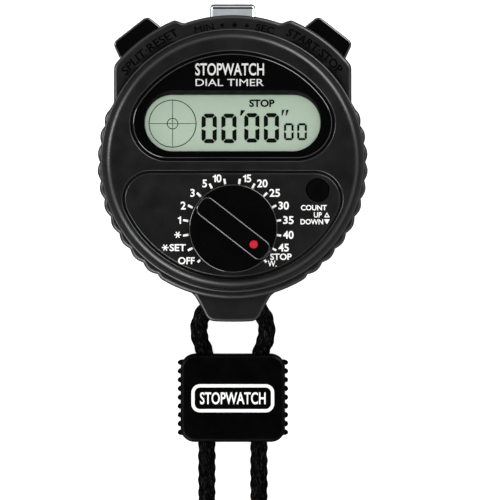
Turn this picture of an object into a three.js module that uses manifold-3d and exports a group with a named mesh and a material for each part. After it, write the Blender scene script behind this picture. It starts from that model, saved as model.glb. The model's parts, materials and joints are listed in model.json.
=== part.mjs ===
// A handheld digital stopwatch with a rotary timer dial and a neck cord, lying on its back.
// Millimetres. +X is to the right of the face, +Y towards the crown and +Z out of the face.
// The origin is under the middle of the watch, on the plane that its rear cover rests on.
import * as THREE from "three";
import { mergeVertices } from "three/addons/utils/BufferGeometryUtils.js";
import Module from "manifold-3d";

const wasm = await Module();
wasm.setup();

const RAD = Math.PI / 180;
const GAP = 0.3; // room between pieces that meet
const ROUND = 36; // sides of the large circles

// Case
const CASE_Y = 0.7; // the round case's centre
const BODY_R = 33.65;
const FOOT_R = 35.2; // below the grips
const BODY_GROWTH = 0.015; // of its radius, in mm per degree below 6 degrees
const GRIP_HEIGHT = 0.65;
const GRIP_PITCH = 8; // degrees
const GRIP_FIRST = -52.6; // degrees, the lowest grip's middle
const GRIP_COUNT = 10;
const FLANGE_R = 37.05;
const SHOULDER_R = 38.7;
const SHOULDER_X = 30.2;
const SHOULDER_LOW = 38.3; // degrees
const SHOULDER_HIGH = 67; // degrees
const SHOULDER_BLEND = 4; // degrees
const CASE_Z = [0.6, 14];
const CAVITY_R = 30.6;
const LEDGE_R = 28.2;
const LEDGE_Z = [2.3, 4.3];
const COVER_R = 31.6;
const COVER_THICK = 2;
const LUG_Z = [2, 10.5];

// Bezel and face
const BEZEL_R = 33.5;
const BEZEL_Z = 14.9;
const FACE_Z = 19.5;
const SKIN_Z = 16.9; // the underside of the face
const SPIGOT_R = [29.6, 30.3];
const SPIGOT_Z = 12.5;
const WINDOW = { sideX: 16.3, sideY: 10, sideR: 9.8, topY: -1.1, topR: 29.6 };
const PANEL = { top: -1.8, corner: 7.4, outer: 30.3 };
const LCD_VIEW = { x: 22.4, low: 2.9, high: 17.8 };
const MODULE_R = 29.2; // what fits inside the spigot

// Electronics
const BOARD_Z = [9.4, 10.4];
const BOARD_R = 29;
const HOLDER_Z = [10.7, 14.3];
const GLASS_Z = [15.2, 16.6];
const BATTERY = { x: 7, y: 9, r: 10, z: [5.2, 8.4] };
const BUZZER = { x: -8, y: -8, r: 10, z: [2.3, 2.8] };
const BOARD_SCREW = { x: 27, y: -1.2 };
const REAR_SCREW_R = 27.2;
const REAR_SCREW_ANGLES = [15, 165, 215, 325];
const BOSS_TOP = 8.8;

// Dial
const DIAL = { x: 0.2, y: -16.6, r: 11.1, angle: -38 };
const DIAL_Z = [19.95, 22.3];
const GRIP_BAR = { width: 5.35, half: 10.7, top: 24.5 };
const DOT = { x: 6.5, r: 1.05 };
const SHAFT_R = 2;
const DETENTS = 20; // 18 degrees apart

// Buttons
const COUNT = { x: 21.5, y: -6.9, r: 3 };
const SIDE_ANGLE = 38; // degrees from the crown to each side button
const BUTTON_Z = 8; // height of the buttons' and the crown's axes
const BUTTON_TOP = 42.6;
const CROWN_TOP = 40.8;
const CROWN_PIN_Y = 37.6;

// Neck cord and slider
const CORD_R = 2.3;
const TUNNEL_R = 2.65;
const SLIDER = { x: 13.4, high: -48.7, low: -71.2, z: 8, corner: 3.6, split: 4, strandX: 6.7 };
const COIL = { x: -3, y: -130.3, r: 37.4, height: 4.7 };
const TIE = { angle: 286.2, centre: [0, -131.7], inner: 14.3, outer: 36.2, width: 6, thick: 0.8, top: 6.6 };

// The route of each strand's centre, from the joint inside the lug to the coil.
const STRAND = [
  [0.2, -33.8, 6.2], [1, -33.8, 6.2], [2.7, -34.2, 6.2], [4.5, -35, 6.2], [6.2, -36.4, 6.2], [7.6, -38.2, 6.1],
  [8.5, -40.3, 6], [8.8, -42.6, 5.75], [8.5, -44.8, 5.35], [7.75, -46.8, 4.85], [7, -48.8, 4.4],
  [6.7, -51, 4.1], [6.7, -54, 4], [6.7, -60, 4], [6.7, -68, 4], [6.7, -76, 4], [6.7, -83.5, 4],
];
const LEFT_END = [
  [-6.7, -86, 3.85], [-6.7, -88, 3.45], [-7.26, -91.15, 2.8], [-8.85, -93.9, 2.4], [-11.3, -95.97, 2.3],
  [-12.75, -96.65, 2.3],
];
const RIGHT_END = [
  [6.7, -86.5, 3.8], [6.7, -89.6, 3.1], [6.15, -92.75, 2.55], [4.55, -95.5, 2.3], [2.1, -97.57, 2.3],
  [-1.38, -98.73, 2.3],
];

const COLOURS = {
  shell: ["#222325", 0.6, 0],
  gloss: ["#0b0b0c", 0.15, 0],
  chrome: ["#d8dadd", 0.1, 1],
  steel: ["#b9bbbe", 0.3, 1],
  brass: ["#b08d4a", 0.35, 1],
  rubber: ["#161616", 0.8, 0],
  board: ["#1f5b34", 0.5, 0],
  acrylic: ["#1a1c1d", 0.05, 0],
  glass: ["#b2c4b6", 0.1, 0],
  silver: ["#c9cfca", 0.4, 0.5],
  frame: ["#e4e2da", 0.5, 0],
  red: ["#d2122e", 0.4, 0],
  cord: ["#0f0f10", 0.9, 0],
};

const watch = new THREE.Group();

// Adds a named mesh to the watch, or to a group inside it.
function piece(name, geometry, finish, parent = watch) {
  const [color, roughness, metalness] = COLOURS[finish];
  const material = new THREE.MeshStandardMaterial({ color, roughness, metalness });
  const mesh = new THREE.Mesh(geometry, material);
  mesh.name = name;
  parent.add(mesh);
}

// A geometry as a solid whose faces point out.
function toSolid(geometry) {
  const bare = geometry.clone();
  bare.deleteAttribute("normal");
  bare.deleteAttribute("uv");
  const merged = mergeVertices(bare, 1e-4);
  const corners = [];
  for (let i = 0; i < merged.index.count; i += 3) {
    const [a, b, c] = merged.index.array.slice(i, i + 3);
    if (a !== b && b !== c && c !== a) corners.push(a, b, c);
  }
  const vertProperties = merged.attributes.position.array;
  const build = (triVerts) => new wasm.Manifold(new wasm.Mesh({ numProp: 3, vertProperties, triVerts }));
  const made = build(new Uint32Array(corners));
  return made.volume() > 0 ? made : build(new Uint32Array(corners.reverse()));
}

function toGeometry(solid) {
  const { vertProperties, triVerts } = solid.getMesh();
  const geometry = new THREE.BufferGeometry();
  geometry.setAttribute("position", new THREE.BufferAttribute(vertProperties, 3));
  geometry.setIndex(new THREE.BufferAttribute(triVerts, 1));
  return geometry;
}

function join(...pieces) {
  return toGeometry(pieces.map(toSolid).reduce((all, one) => all.add(one)));
}

function cut(body, ...tools) {
  return toGeometry(tools.map(toSolid).reduce((all, one) => all.subtract(one), toSolid(body)));
}

function common(a, b) {
  return toGeometry(toSolid(a).intersect(toSolid(b)));
}

// A profile of [radius, height] points turned round the Z axis at (x, y).
function revolve(profile, segments = 16, x = 0, y = 0) {
  const points = profile.map(([r, z]) => new THREE.Vector2(r, z));
  return toGeometry(toSolid(new THREE.LatheGeometry(points, segments).rotateX(90 * RAD))).translate(x, y, 0);
}

function disc(r, [low, high], x = 0, y = 0, segments = 12) {
  return revolve([[0, low], [r, low], [r, high], [0, high]], segments, x, y);
}

function ring(inner, outer, [low, high], x = 0, y = 0, segments = 20) {
  return revolve([[inner, low], [outer, low], [outer, high], [inner, high], [inner, low]], segments, x, y);
}

// An O-ring round the Z axis.
function oRing(r, section, z, segments = 12) {
  return toGeometry(toSolid(new THREE.TorusGeometry(r, section, 5, segments))).translate(0, 0, z);
}

function box([x0, x1], [y0, y1], [z0, z1]) {
  const made = new THREE.BoxGeometry(x1 - x0, y1 - y0, z1 - z0);
  return made.translate((x0 + x1) / 2, (y0 + y1) / 2, (z0 + z1) / 2);
}

// An outline raised from z = low to z = high, with its edges bevelled if asked.
function extrude(shape, [low, high], bevel = 0, curveSegments = 4) {
  const options = { depth: high - low - 2 * bevel, curveSegments, steps: 1, bevelEnabled: bevel > 0 };
  Object.assign(options, { bevelThickness: bevel, bevelSize: bevel, bevelOffset: -bevel, bevelSegments: 1 });
  return new THREE.ExtrudeGeometry(shape, options).translate(0, 0, low + bevel);
}

function polygon(points) {
  return new THREE.Shape(points.map(([x, y]) => new THREE.Vector2(x, y)));
}

// Turns a piece made along +Z so that it points along +Y, with its axis at the buttons' height.
function outward(geometry) {
  return geometry.rotateX(-90 * RAD).translate(0, 0, BUTTON_Z);
}

// A round section carried along a list of points.
function tube(points, r, steps, sides = 8) {
  const path = new THREE.CatmullRomCurve3(points.map((p) => new THREE.Vector3(...p)), false, "centripetal");
  const corners = Array.from({ length: sides }, (_, i) => (i + 0.5) * (360 / sides) * RAD);
  const section = polygon(corners.map((a) => [r * Math.cos(a), r * Math.sin(a)]));
  return toGeometry(toSolid(new THREE.ExtrudeGeometry(section, { steps, extrudePath: path })));
}

// A coil spring round the Z axis.
function spring(r, wire, [low, high], turns) {
  const perTurn = 6;
  const points = Array.from({ length: turns * perTurn + 1 }, (_, i) => {
    const angle = (i / perTurn) * 360 * RAD;
    const z = low + wire + ((high - low - 2 * wire) * i) / (turns * perTurn);
    return [r * Math.cos(angle), r * Math.sin(angle), z];
  });
  return tube(points, wire, turns * perTurn, 4);
}

function screw(x, y, [low, head, tip], headR, shankR) {
  const made = revolve([[0, low], [headR, low], [headR, head], [shankR, head], [shankR, tip], [0, tip]], 10);
  const slot = box([-headR, headR], [-0.3, 0.3], [low - 1, low + 0.5]);
  return cut(made, slot).translate(x, y, 0);
}

// The two side buttons' frames: +Y points outwards from the case's centre along the button's axis.
function sideFrame(side) {
  const turn = new THREE.Matrix4().makeRotationZ(-side * SIDE_ANGLE * RAD);
  return turn.setPosition(0, CASE_Y, 0);
}

// The case's edge on the +X side, from straight down to straight up, as [degrees, radius].
function caseEdge() {
  const edge = [];
  const gripStart = GRIP_FIRST - GRIP_PITCH / 2;
  for (let a = -90; a < gripStart - 1; a += 6) edge.push([a, FOOT_R]);
  edge.push([gripStart - 2.4, FOOT_R]);
  for (let i = 0; i < GRIP_COUNT; i++) {
    for (const t of [0, 0.3, 0.7]) {
      const a = gripStart + (i + t) * GRIP_PITCH;
      edge.push([a, BODY_R + BODY_GROWTH * Math.max(0, 6 - a) + GRIP_HEIGHT * Math.sin(t * Math.PI)]);
    }
  }
  const meets = Math.acos(SHOULDER_X / BODY_R) / RAD;
  edge.push([meets, BODY_R], [SHOULDER_LOW - 0.8, SHOULDER_X / Math.cos((SHOULDER_LOW - 0.8) * RAD)]);
  for (let a = SHOULDER_LOW + 0.5; a < SHOULDER_HIGH; a += 5.2) edge.push([a, SHOULDER_R]);
  for (const t of [0, 0.5, 1]) {
    const blend = t * t * (3 - 2 * t);
    edge.push([SHOULDER_HIGH + t * SHOULDER_BLEND, SHOULDER_R + (FLANGE_R - SHOULDER_R) * blend]);
  }
  for (let a = SHOULDER_HIGH + SHOULDER_BLEND + 4; a < 89; a += 4) edge.push([a, FLANGE_R]);
  return edge;
}

function caseOutline(inset) {
  const right = caseEdge();
  const left = right.map(([a, r]) => [180 - a, r]).reverse();
  const all = [...right, [90, FLANGE_R], ...left.slice(0, -1)];
  const place = ([a, r]) => [(r - inset) * Math.cos(a * RAD), CASE_Y + (r - inset) * Math.sin(a * RAD)];
  return polygon(all.map(place));
}

function lugOutline() {
  const right = [[5.6, -40.35], [6.6, -39.5], [9, -34.8], [9.8, -33.4], [11.5, -32.3], [14.8, -30.6]];
  const left = right.map(([x, y]) => [-x, y]).reverse();
  return polygon([...right, ...left]);
}

// The display window: round sides, a flat foot and a top that follows the case.
function windowOutline(inset) {
  const { sideX, sideY, sideR, topY, topR } = WINDOW;
  const tangent = Math.atan2(sideY - topY, sideX);
  const shape = new THREE.Shape();
  shape.moveTo(-sideX, sideY - sideR + inset);
  shape.absarc(sideX, sideY, sideR - inset, -90 * RAD, tangent, false);
  shape.absarc(0, topY, topR - inset, tangent, Math.PI - tangent, false);
  shape.absarc(-sideX, sideY, sideR - inset, Math.PI - tangent, 270 * RAD, false);
  return shape;
}

// The dial panel: a D on its back whose curved side runs along the case's edge.
function panelOutline(inset) {
  const { top, corner, outer } = PANEL;
  const y = top - corner;
  const x = Math.sqrt((outer - corner) ** 2 - (y - CASE_Y) ** 2);
  const tangent = Math.atan2(y - CASE_Y, x);
  const shape = new THREE.Shape();
  shape.absarc(x, y, corner - inset, 90 * RAD, tangent, true);
  shape.absarc(0, CASE_Y, outer - inset, tangent, -Math.PI - tangent, true);
  shape.absarc(-x, y, corner - inset, -Math.PI - tangent, -270 * RAD, true);
  return shape;
}

function roundedBox(halfX, low, high, corner) {
  const shape = new THREE.Shape();
  shape.absarc(halfX - corner, low + corner, corner, -90 * RAD, 0, false);
  shape.absarc(halfX - corner, high - corner, corner, 0, 90 * RAD, false);
  shape.absarc(corner - halfX, high - corner, corner, 90 * RAD, 180 * RAD, false);
  shape.absarc(corner - halfX, low + corner, corner, 180 * RAD, 270 * RAD, false);
  return shape;
}

function stadium({ x, low, high }) {
  return roundedBox(x, low, high, (high - low) / 2);
}

function rearScrewPlaces() {
  const at = (a) => [REAR_SCREW_R * Math.cos(a * RAD), CASE_Y + REAR_SCREW_R * Math.sin(a * RAD)];
  return REAR_SCREW_ANGLES.map(at);
}

// What a side button, its stem, spring and seal need cut out of the case wall.
function buttonRoom() {
  const pocket = box([-7, 7], [34.2, 46], [BUTTON_Z - 3.8, BUTTON_Z + 3.8]);
  const bore = outward(join(disc(1.4, [29, 35]), disc(2.2, [31.3, 32.4]), disc(2.9, [32.9, 35])));
  return join(pocket, bore);
}

function crownRoom() {
  const slot = box([-6.3, 6.3], [34.6, 46], [BUTTON_Z - 3.4, BUTTON_Z + 3.4]);
  const bore = outward(join(disc(1.35, [30, 35]), disc(2.1, [32, 33]), disc(2.7, [33.4, 35])));
  return join(slot, bore);
}

function strand(side) {
  return STRAND.map(([x, y, z]) => [side * x, y, z]);
}

function makeCase() {
  const [low, high] = CASE_Z;
  const edge = 1.4;
  const outer = join(
    extrude(caseOutline(0), [low + edge, high]),
    extrude(caseOutline(0.7), [low, low + edge + 0.2]),
    extrude(lugOutline(), LUG_Z, 0.4),
  );
  const hollow = join(
    disc(CAVITY_R, [LEDGE_Z[1], high + 1], 0, CASE_Y, ROUND),
    disc(LEDGE_R, [1, LEDGE_Z[1] + 1], 0, CASE_Y, ROUND),
    disc(COVER_R + GAP, [0, LEDGE_Z[0]], 0, CASE_Y, ROUND),
  );
  const bosses = rearScrewPlaces().map(([x, y]) => disc(2.4, [LEDGE_Z[0], BOSS_TOP], x, y));
  const holes = rearScrewPlaces().map(([x, y]) => disc(1.15, [0, 8], x, y, 8));
  const rooms = [1, -1].map((side) => buttonRoom().applyMatrix4(sideFrame(side)));
  const arch = [...strand(-1).slice(1, 9).reverse(), ...strand(1).slice(1, 9)];
  const shell = join(cut(outer, hollow), ...bosses);
  piece("mid_case", cut(shell, ...holes, ...rooms, crownRoom(), tube(arch, TUNNEL_R + 0.1, 18)), "shell");
}

function makeRearCover() {
  const profile = [[0, 0], [COVER_R - 0.5, 0], [COVER_R, 0.5], [COVER_R, COVER_THICK], [31.2, COVER_THICK]];
  profile.push([31.2, 1.2], [29.6, 1.2], [29.6, COVER_THICK], [27.9, COVER_THICK], [27.9, 3.2]);
  profile.push([26.9, 3.2], [26.9, COVER_THICK], [0, COVER_THICK]);
  const sinks = rearScrewPlaces().map(([x, y]) => disc(2.2, [-1, 1.7], x, y));
  const holes = rearScrewPlaces().map(([x, y]) => disc(1.2, [0, 4], x, y, 8));
  const reliefs = rearScrewPlaces().map(([x, y]) => disc(2.4 + GAP, [COVER_THICK, 4], x, y));
  piece("rear_cover", cut(revolve(profile, ROUND, 0, CASE_Y), ...sinks, ...holes, ...reliefs), "shell");
  piece("rear_gasket", ring(29.9, 30.9, [1.5, 2.05], 0, CASE_Y, ROUND), "rubber");
  rearScrewPlaces().forEach(([x, y], i) => {
    piece("rear_screw_" + (i + 1), screw(x, y, [0.3, 1.4, 7.5], 1.9, 0.85), "steel");
  });
}

function makeBezel() {
  const profile = [[0, FACE_Z], [29.4, FACE_Z], [30.7, 19.3], [31.8, 18.8], [32.7, 17.9], [33.3, 16.8]];
  profile.push([BEZEL_R, 15.8], [BEZEL_R, BEZEL_Z], [SPIGOT_R[1], BEZEL_Z], [SPIGOT_R[1], SPIGOT_Z]);
  profile.push([SPIGOT_R[0], SPIGOT_Z], [SPIGOT_R[0], SKIN_Z], [0, SKIN_Z]);
  const posts = [1, -1].map((side) => {
    return disc(2.2, [HOLDER_Z[0], SKIN_Z + 0.5], side * BOARD_SCREW.x, BOARD_SCREW.y);
  });
  const pegs = [-9.6, -21.8].map((y) => disc(1.1, [12.9, SKIN_Z + 0.5], -9.2, y, 8));
  const boss = disc(4.8, [15, SKIN_Z + 0.5], DIAL.x, DIAL.y);
  const solid = join(revolve(profile, ROUND, 0, CASE_Y), ...posts, ...pegs, boss);
  const above = FACE_Z + 1;
  const tools = [
    extrude(windowOutline(0.6), [17.9, above], 0, 8),
    extrude(windowOutline(2.2), [15, above], 0, 8),
    extrude(panelOutline(0.5), [18.6, above], 0, 10),
    disc(SHAFT_R + 0.35, [14, above], DIAL.x, DIAL.y),
    disc(3.6, [17.3, above], DIAL.x, DIAL.y, 16),
    disc(COUNT.r + GAP, [15, above], COUNT.x, COUNT.y, 16),
    ...[1, -1].map((side) => disc(1.15, [10, 15.4], side * BOARD_SCREW.x, BOARD_SCREW.y, 8)),
  ];
  piece("front_bezel", cut(solid, ...tools), "shell");
  piece("front_gasket", ring(31.2, 32.8, [14.25, 14.6], 0, CASE_Y, ROUND), "rubber");
  const panel = extrude(panelOutline(0.8), [18.9, 19.3], 0, 10);
  const shaftHole = disc(3.2, [18, 20], DIAL.x, DIAL.y, 16);
  const buttonHole = disc(COUNT.r + GAP, [18, 20], COUNT.x, COUNT.y, 16);
  piece("dial_plate", cut(panel, shaftHole, buttonHole), "shell");
}

function makeDisplay() {
  const view = extrude(stadium(LCD_VIEW), [16, 19], 0, 6);
  const fits = disc(MODULE_R, [9, 20], 0, CASE_Y, ROUND);
  piece("window_lens", extrude(windowOutline(0.9), [18.2, 19.4], 0, 8), "acrylic");
  piece("display_mask", cut(extrude(windowOutline(2.5), [17, 17.9], 0, 8), view), "gloss");
  piece("lcd_glass", common(box([-22.9, 22.9], [0.9, 20.3], GLASS_Z), fits), "glass");
  piece("lcd_reflector", box([-22, 22], [3, 17.9], [14.6, 14.9]), "silver");
  const frame = common(box([-23.6, 23.6], [0.6, 20.6], HOLDER_Z), fits);
  const rooms = [box([-20.5, 20.5], [4, 16.8], [10, 15])];
  for (const [side, y] of [["lower", 2.1], ["upper", 18.8]]) {
    rooms.push(box([-18.3, 18.3], [y - 0.9, y + 0.9], [10, 15]));
    piece("zebra_strip_" + side, box([-18, 18], [y - 0.6, y + 0.6], [HOLDER_Z[0], GLASS_Z[0] - GAP]), "rubber");
  }
  piece("lcd_holder", cut(frame, ...rooms), "frame");
}

function makeBoard() {
  const tools = [1, -1].map((side) => disc(1.15, [9, 11], side * BOARD_SCREW.x, BOARD_SCREW.y, 8));
  const notch = () => box([-3.2, 3.2], [27.3, 32], [9, 11]);
  tools.push(...[0, 1, -1].map((side) => notch().applyMatrix4(sideFrame(side))));
  piece("circuit_board", cut(disc(BOARD_R, BOARD_Z, 0, CASE_Y, ROUND), ...tools), "board");
  piece("timer_chip", box([-4.5, 4.5], [5.8, 14.8], [10.7, 12.2]), "gloss");
  piece("quartz_crystal", disc(1.1, [-16, -10], 0, 0, 10).rotateY(90 * RAD).translate(0, -6, 11.8), "steel");
  [1, -1].forEach((side, i) => {
    const made = screw(side * BOARD_SCREW.x, BOARD_SCREW.y, [8, 9.1, 15], 1.9, 0.85);
    piece("board_screw_" + (i + 1), made, "steel");
  });
}

function makeBatteryAndBuzzer() {
  const { x, y, r, z } = BATTERY;
  const cell = [[0, z[0]], [r - 0.4, z[0]], [r, z[0] + 0.4], [r, z[1] - 1], [r - 1, z[1] - 0.6]];
  cell.push([r - 1, z[1]], [0, z[1]]);
  piece("battery", revolve(cell, 24, x, y), "steel");
  const strap = box([x - 3, x + 3], [y - r - 1, y + r + 1], [z[0] - 0.8, z[0] - 0.4]);
  const legs = [y - r - 1, y + r + 0.6].map((from) => box([x - 3, x + 3], [from, from + 0.4], [4.5, 9.1]));
  piece("battery_clip", join(strap, ...legs), "steel");
  piece("battery_contact", box([x - 4, x + 4], [y - 1.5, y + 1.5], [8.7, 9.1]), "brass");
  piece("buzzer_disc", disc(BUZZER.r, BUZZER.z, BUZZER.x, BUZZER.y, 24), "brass");
  [-3, 3].forEach((offset, i) => {
    const made = spring(1, 0.2, [3.1, 9.1], 5).translate(BUZZER.x + offset, BUZZER.y, 0);
    piece("buzzer_spring_" + (i + 1), made, "brass");
  });
}

// The knob with its grip bar, its shaft and what the shaft carries. In its group +X is the pointer.
function makeDial() {
  const dial = new THREE.Group();
  dial.position.set(DIAL.x, DIAL.y, 0);
  dial.rotation.z = DIAL.angle * RAD;
  watch.add(dial);
  const [low, high] = DIAL_Z;
  const body = revolve([[0, low], [DIAL.r, low], [DIAL.r, high - 0.4], [DIAL.r - 0.4, high], [0, high]], 32);
  const { width, half, top } = GRIP_BAR;
  const bar = extrude(roundedBox(half, -width / 2, width / 2, 2), [high - 1, top], 0.4);
  const socket = disc(SHAFT_R + GAP, [low - 1, 21.2]);
  const dotRoom = disc(DOT.r + GAP, [23.7, top + 1], DOT.x, 0);
  piece("dial_knob", cut(join(body, bar), socket, dotRoom), "gloss", dial);
  piece("dial_dot", disc(DOT.r, [24, top - 0.05], DOT.x, 0), "red", dial);
  piece("dial_shaft", disc(SHAFT_R, [11.3, 20.9]), "steel", dial);
  piece("dial_rotor", ring(SHAFT_R + GAP, 7, [11.2, 12.5]), "frame", dial);
  const teeth = Array.from({ length: DETENTS * 2 }, (_, i) => {
    const angle = (i + 0.5) * (180 / DETENTS) * RAD;
    const r = i % 2 ? 5.5 : 6;
    return [r * Math.cos(angle), r * Math.sin(angle)];
  });
  const wheel = cut(extrude(polygon(teeth), [12.9, 14.6]), disc(SHAFT_R + GAP, [12, 15]));
  piece("detent_wheel", wheel, "frame", dial);
  piece("dial_seal", oRing(2.85, 0.42, 18).translate(DIAL.x, DIAL.y, 0), "rubber");
  const leaf = [[-7.4, -9.4], [-7.4, -15.4], [-5.95, -16.6], [-7.4, -17.8], [-7.4, -22.8], [-7.8, -22.8]];
  leaf.push([-7.8, -17.6], [-6.6, -16.6], [-7.8, -15.6], [-7.8, -9.4]);
  piece("detent_spring", extrude(polygon(leaf), [13.2, 14.3]), "steel");
}

function makeCountButton() {
  const profile = [[0, 11.95], [1.2, 11.95], [1.2, 15.7], [4.1, 15.7], [4.1, 16.4], [COUNT.r, 16.4]];
  profile.push([COUNT.r, 18.9], [COUNT.r - 0.3, 19.1], [1.6, 18.75], [0, 18.6]);
  piece("count_button", revolve(profile, 16, COUNT.x, COUNT.y), "gloss");
  piece("count_spring", spring(2.2, 0.2, [10.9, 15.4], 5).translate(COUNT.x, COUNT.y, 0), "steel");
  piece("count_contact", disc(1.5, [10.7, 11], COUNT.x, COUNT.y), "brass");
}

// A side button in its own frame: cap, stem, return spring, seal and the contact that it presses.
function makeSideButton(name, side) {
  const frame = new THREE.Group();
  frame.applyMatrix4(sideFrame(side));
  watch.add(frame);
  const cap = polygon([
    [6.5, 35.9], [6.5, 38.7], [5.65, 41.6], [5.2, 42.3], [4.4, BUTTON_TOP],
    [-4.4, BUTTON_TOP], [-5.2, 42.3], [-5.65, 41.6], [-6.5, 38.7], [-6.5, 35.9],
  ]);
  const socket = outward(disc(1.4, [35, 38]));
  const shell = cut(extrude(cap, [BUTTON_Z - 3.4, BUTTON_Z + 3.4], 0.5), socket);
  piece(name + "_button", shell, "gloss", frame);
  const stem = [[0, 29], [1.1, 29], [1.1, 29.8], [2.2, 29.8], [2.2, 30.3], [1.1, 30.3], [1.1, 37.6], [0, 37.6]];
  piece(name + "_stem", outward(revolve(stem, 12)), "steel", frame);
  piece(name + "_spring", outward(spring(2.1, 0.2, [33.1, 35.7], 4)), "steel", frame);
  piece(name + "_seal", outward(oRing(1.6, 0.4, 31.85)), "rubber", frame);
  const leaf = join(box([-1.5, 1.5], [26.8, 27.1], [6.8, 9.1]), box([-1.5, 1.5], [24.5, 27.1], [8.8, 9.1]));
  piece(name + "_contact", leaf, "brass", frame);
}

// The crown: a chromed cap that rocks on a pin through the plunger that it presses in.
function makeCrown() {
  const [low, high] = [BUTTON_Z - 3, BUTTON_Z + 3];
  const block = extrude(roundedBox(5.75, 36.4, CROWN_TOP, 1.1), [low, high], 0.5);
  const slot = box([-1.75, 1.75], [35, 39], [BUTTON_Z - 1.75, BUTTON_Z + 1.75]);
  const pinHole = disc(1, [low - 1, high + 1], 0, CROWN_PIN_Y);
  piece("crown_cap", cut(block, slot, pinHole), "chrome");
  piece("crown_pin", disc(0.7, [low + 0.2, high - 0.2], 0, CROWN_PIN_Y), "steel");
  const head = box([-1.4, 1.4], [35.7, 38.7], [BUTTON_Z - 1.4, BUTTON_Z + 1.4]);
  const stem = [[0, 29.8], [1, 29.8], [1, 30.4], [2, 30.4], [2, 30.9], [1, 30.9], [1, 36], [0, 36]];
  const neck = outward(revolve(stem, 12));
  piece("crown_plunger", cut(join(head, neck), pinHole), "steel");
  piece("crown_spring", outward(spring(1.9, 0.2, [33.6, 35.5], 3)), "steel");
  piece("crown_seal", outward(oRing(1.5, 0.4, 32.5)), "rubber");
  const leaf = join(box([-1.5, 1.5], [28, 28.3], [6.8, 9.1]), box([-1.5, 1.5], [25.7, 28.3], [8.8, 9.1]));
  piece("crown_contact", leaf, "brass");
}

// The slider's two shells close round both strands. Ribs along its sides are for the fingers.
function makeSlider() {
  const { x, high, low, z, corner, split, strandX } = SLIDER;
  const outline = roundedBox(x, low, high, corner);
  const channels = [1, -1].map((side) => {
    const mouth = [[0, 0], [3.3, 0], [TUNNEL_R, 3.5], [TUNNEL_R, 30], [0, 30]];
    return revolve(mouth, 12).rotateX(90 * RAD).translate(side * strandX, high + 0.1, split);
  });
  piece("slider_front", cut(extrude(outline, [split + GAP / 2, z], 0.5), ...channels), "gloss");
  const ribs = [];
  const ribCount = 9;
  const pitch = 2.26;
  for (const side of [1, -1]) {
    for (let i = 0; i < ribCount; i++) {
      const y = (high + low) / 2 + (i - (ribCount - 1) / 2) * pitch;
      const rib = box([-0.8, 0.8], [y - 0.4, y + 0.4], [0.6, split - GAP / 2]);
      ribs.push(rib.translate(side * (x + 0.2), 0, 0));
    }
  }
  const back = join(extrude(outline, [0, split - GAP / 2], 0.4), ...ribs);
  piece("slider_back", cut(back, ...channels), "gloss");
}

// The cord leaves the lug on both sides, runs through the slider and lies coiled below it.
function makeCord() {
  const left = [...strand(-1), ...LEFT_END];
  const right = [...strand(1), ...RIGHT_END];
  piece("neck_cord_left", tube(left, CORD_R, 28), "cord");
  piece("neck_cord_right", tube(right, CORD_R, 28), "cord");
  const beyond = (route) => {
    const [a, b] = route.slice(-2).map((p) => new THREE.Vector3(...p));
    return b.clone().add(b.clone().sub(a).setLength(0.4)).toArray();
  };
  const { x, y, r, height } = COIL;
  const profile = [[0, 0], [r - 0.8, 0], [r, 0.8], [r, height - 0.8], [r - 0.8, height], [0, height]];
  const round = revolve(profile, ROUND, x, y);
  const notches = [left, right].map((route) => tube([...route.slice(-6), beyond(route)], CORD_R + 0.4, 10));
  piece("neck_cord_coil", cut(round, ...notches, ...tieBand(GAP)), "cord");
  piece("cord_tie", join(...tieBand(0)), "rubber");
}

// The band round the coil's strands: a closed loop of four flat legs, grown by some room.
function tieBand(room) {
  const { angle, centre, inner, outer, width, thick, top } = TIE;
  const across = [-width / 2 - room, width / 2 + room];
  const legs = [
    box([inner - room, outer + room], across, [-room, thick + room]),
    box([inner - room, outer + room], across, [top - thick - room, top + room]),
    box([inner - room, inner + thick + room], across, [-room, top + room]),
    box([outer - thick - room, outer + room], across, [-room, top + room]),
  ];
  return legs.map((leg) => leg.rotateZ(angle * RAD).translate(centre[0], centre[1], 0));
}

makeCase();
makeRearCover();
makeBezel();
makeDisplay();
makeBoard();
makeBatteryAndBuzzer();
makeDial();
makeCountButton();
makeSideButton("start", 1);
makeSideButton("split", -1);
makeCrown();
makeSlider();
makeCord();

export default watch;
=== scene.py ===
"""A digital stopwatch with a timer dial on a neck cord: its looks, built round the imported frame.

Outlines and heights are in millimetres in the row frame, and `add` turns them into metres.
The face looks up: +X is to its right, +Y towards the crown and +Z out of the face.
"""
import json
import math

import bmesh
import bpy
import numpy as np
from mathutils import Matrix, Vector


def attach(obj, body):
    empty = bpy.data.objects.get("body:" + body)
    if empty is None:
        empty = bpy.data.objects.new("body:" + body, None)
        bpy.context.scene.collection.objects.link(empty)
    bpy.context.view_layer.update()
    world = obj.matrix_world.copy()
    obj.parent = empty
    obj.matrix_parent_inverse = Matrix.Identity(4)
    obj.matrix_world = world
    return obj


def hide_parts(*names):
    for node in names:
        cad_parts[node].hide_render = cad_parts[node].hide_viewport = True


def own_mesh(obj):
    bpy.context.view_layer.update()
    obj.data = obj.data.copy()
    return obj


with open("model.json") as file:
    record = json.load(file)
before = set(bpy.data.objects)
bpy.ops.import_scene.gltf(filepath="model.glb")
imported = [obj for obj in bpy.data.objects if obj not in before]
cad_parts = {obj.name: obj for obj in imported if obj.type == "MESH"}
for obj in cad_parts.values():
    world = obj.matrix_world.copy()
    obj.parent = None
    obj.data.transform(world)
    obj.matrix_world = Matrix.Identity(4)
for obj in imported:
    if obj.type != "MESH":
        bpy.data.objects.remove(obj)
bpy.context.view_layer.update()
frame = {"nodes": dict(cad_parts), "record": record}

MM = 0.001
TURN = 2 * math.pi

# ---- camera

VIEW_CENTRE = (4.4, -22)  # what the camera looks straight down on
VIEW_HALF = 63.5  # half of the picture's width, at the height of the case
VIEW_LEVEL = 14
CAMERA_HEIGHT = 800


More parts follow.
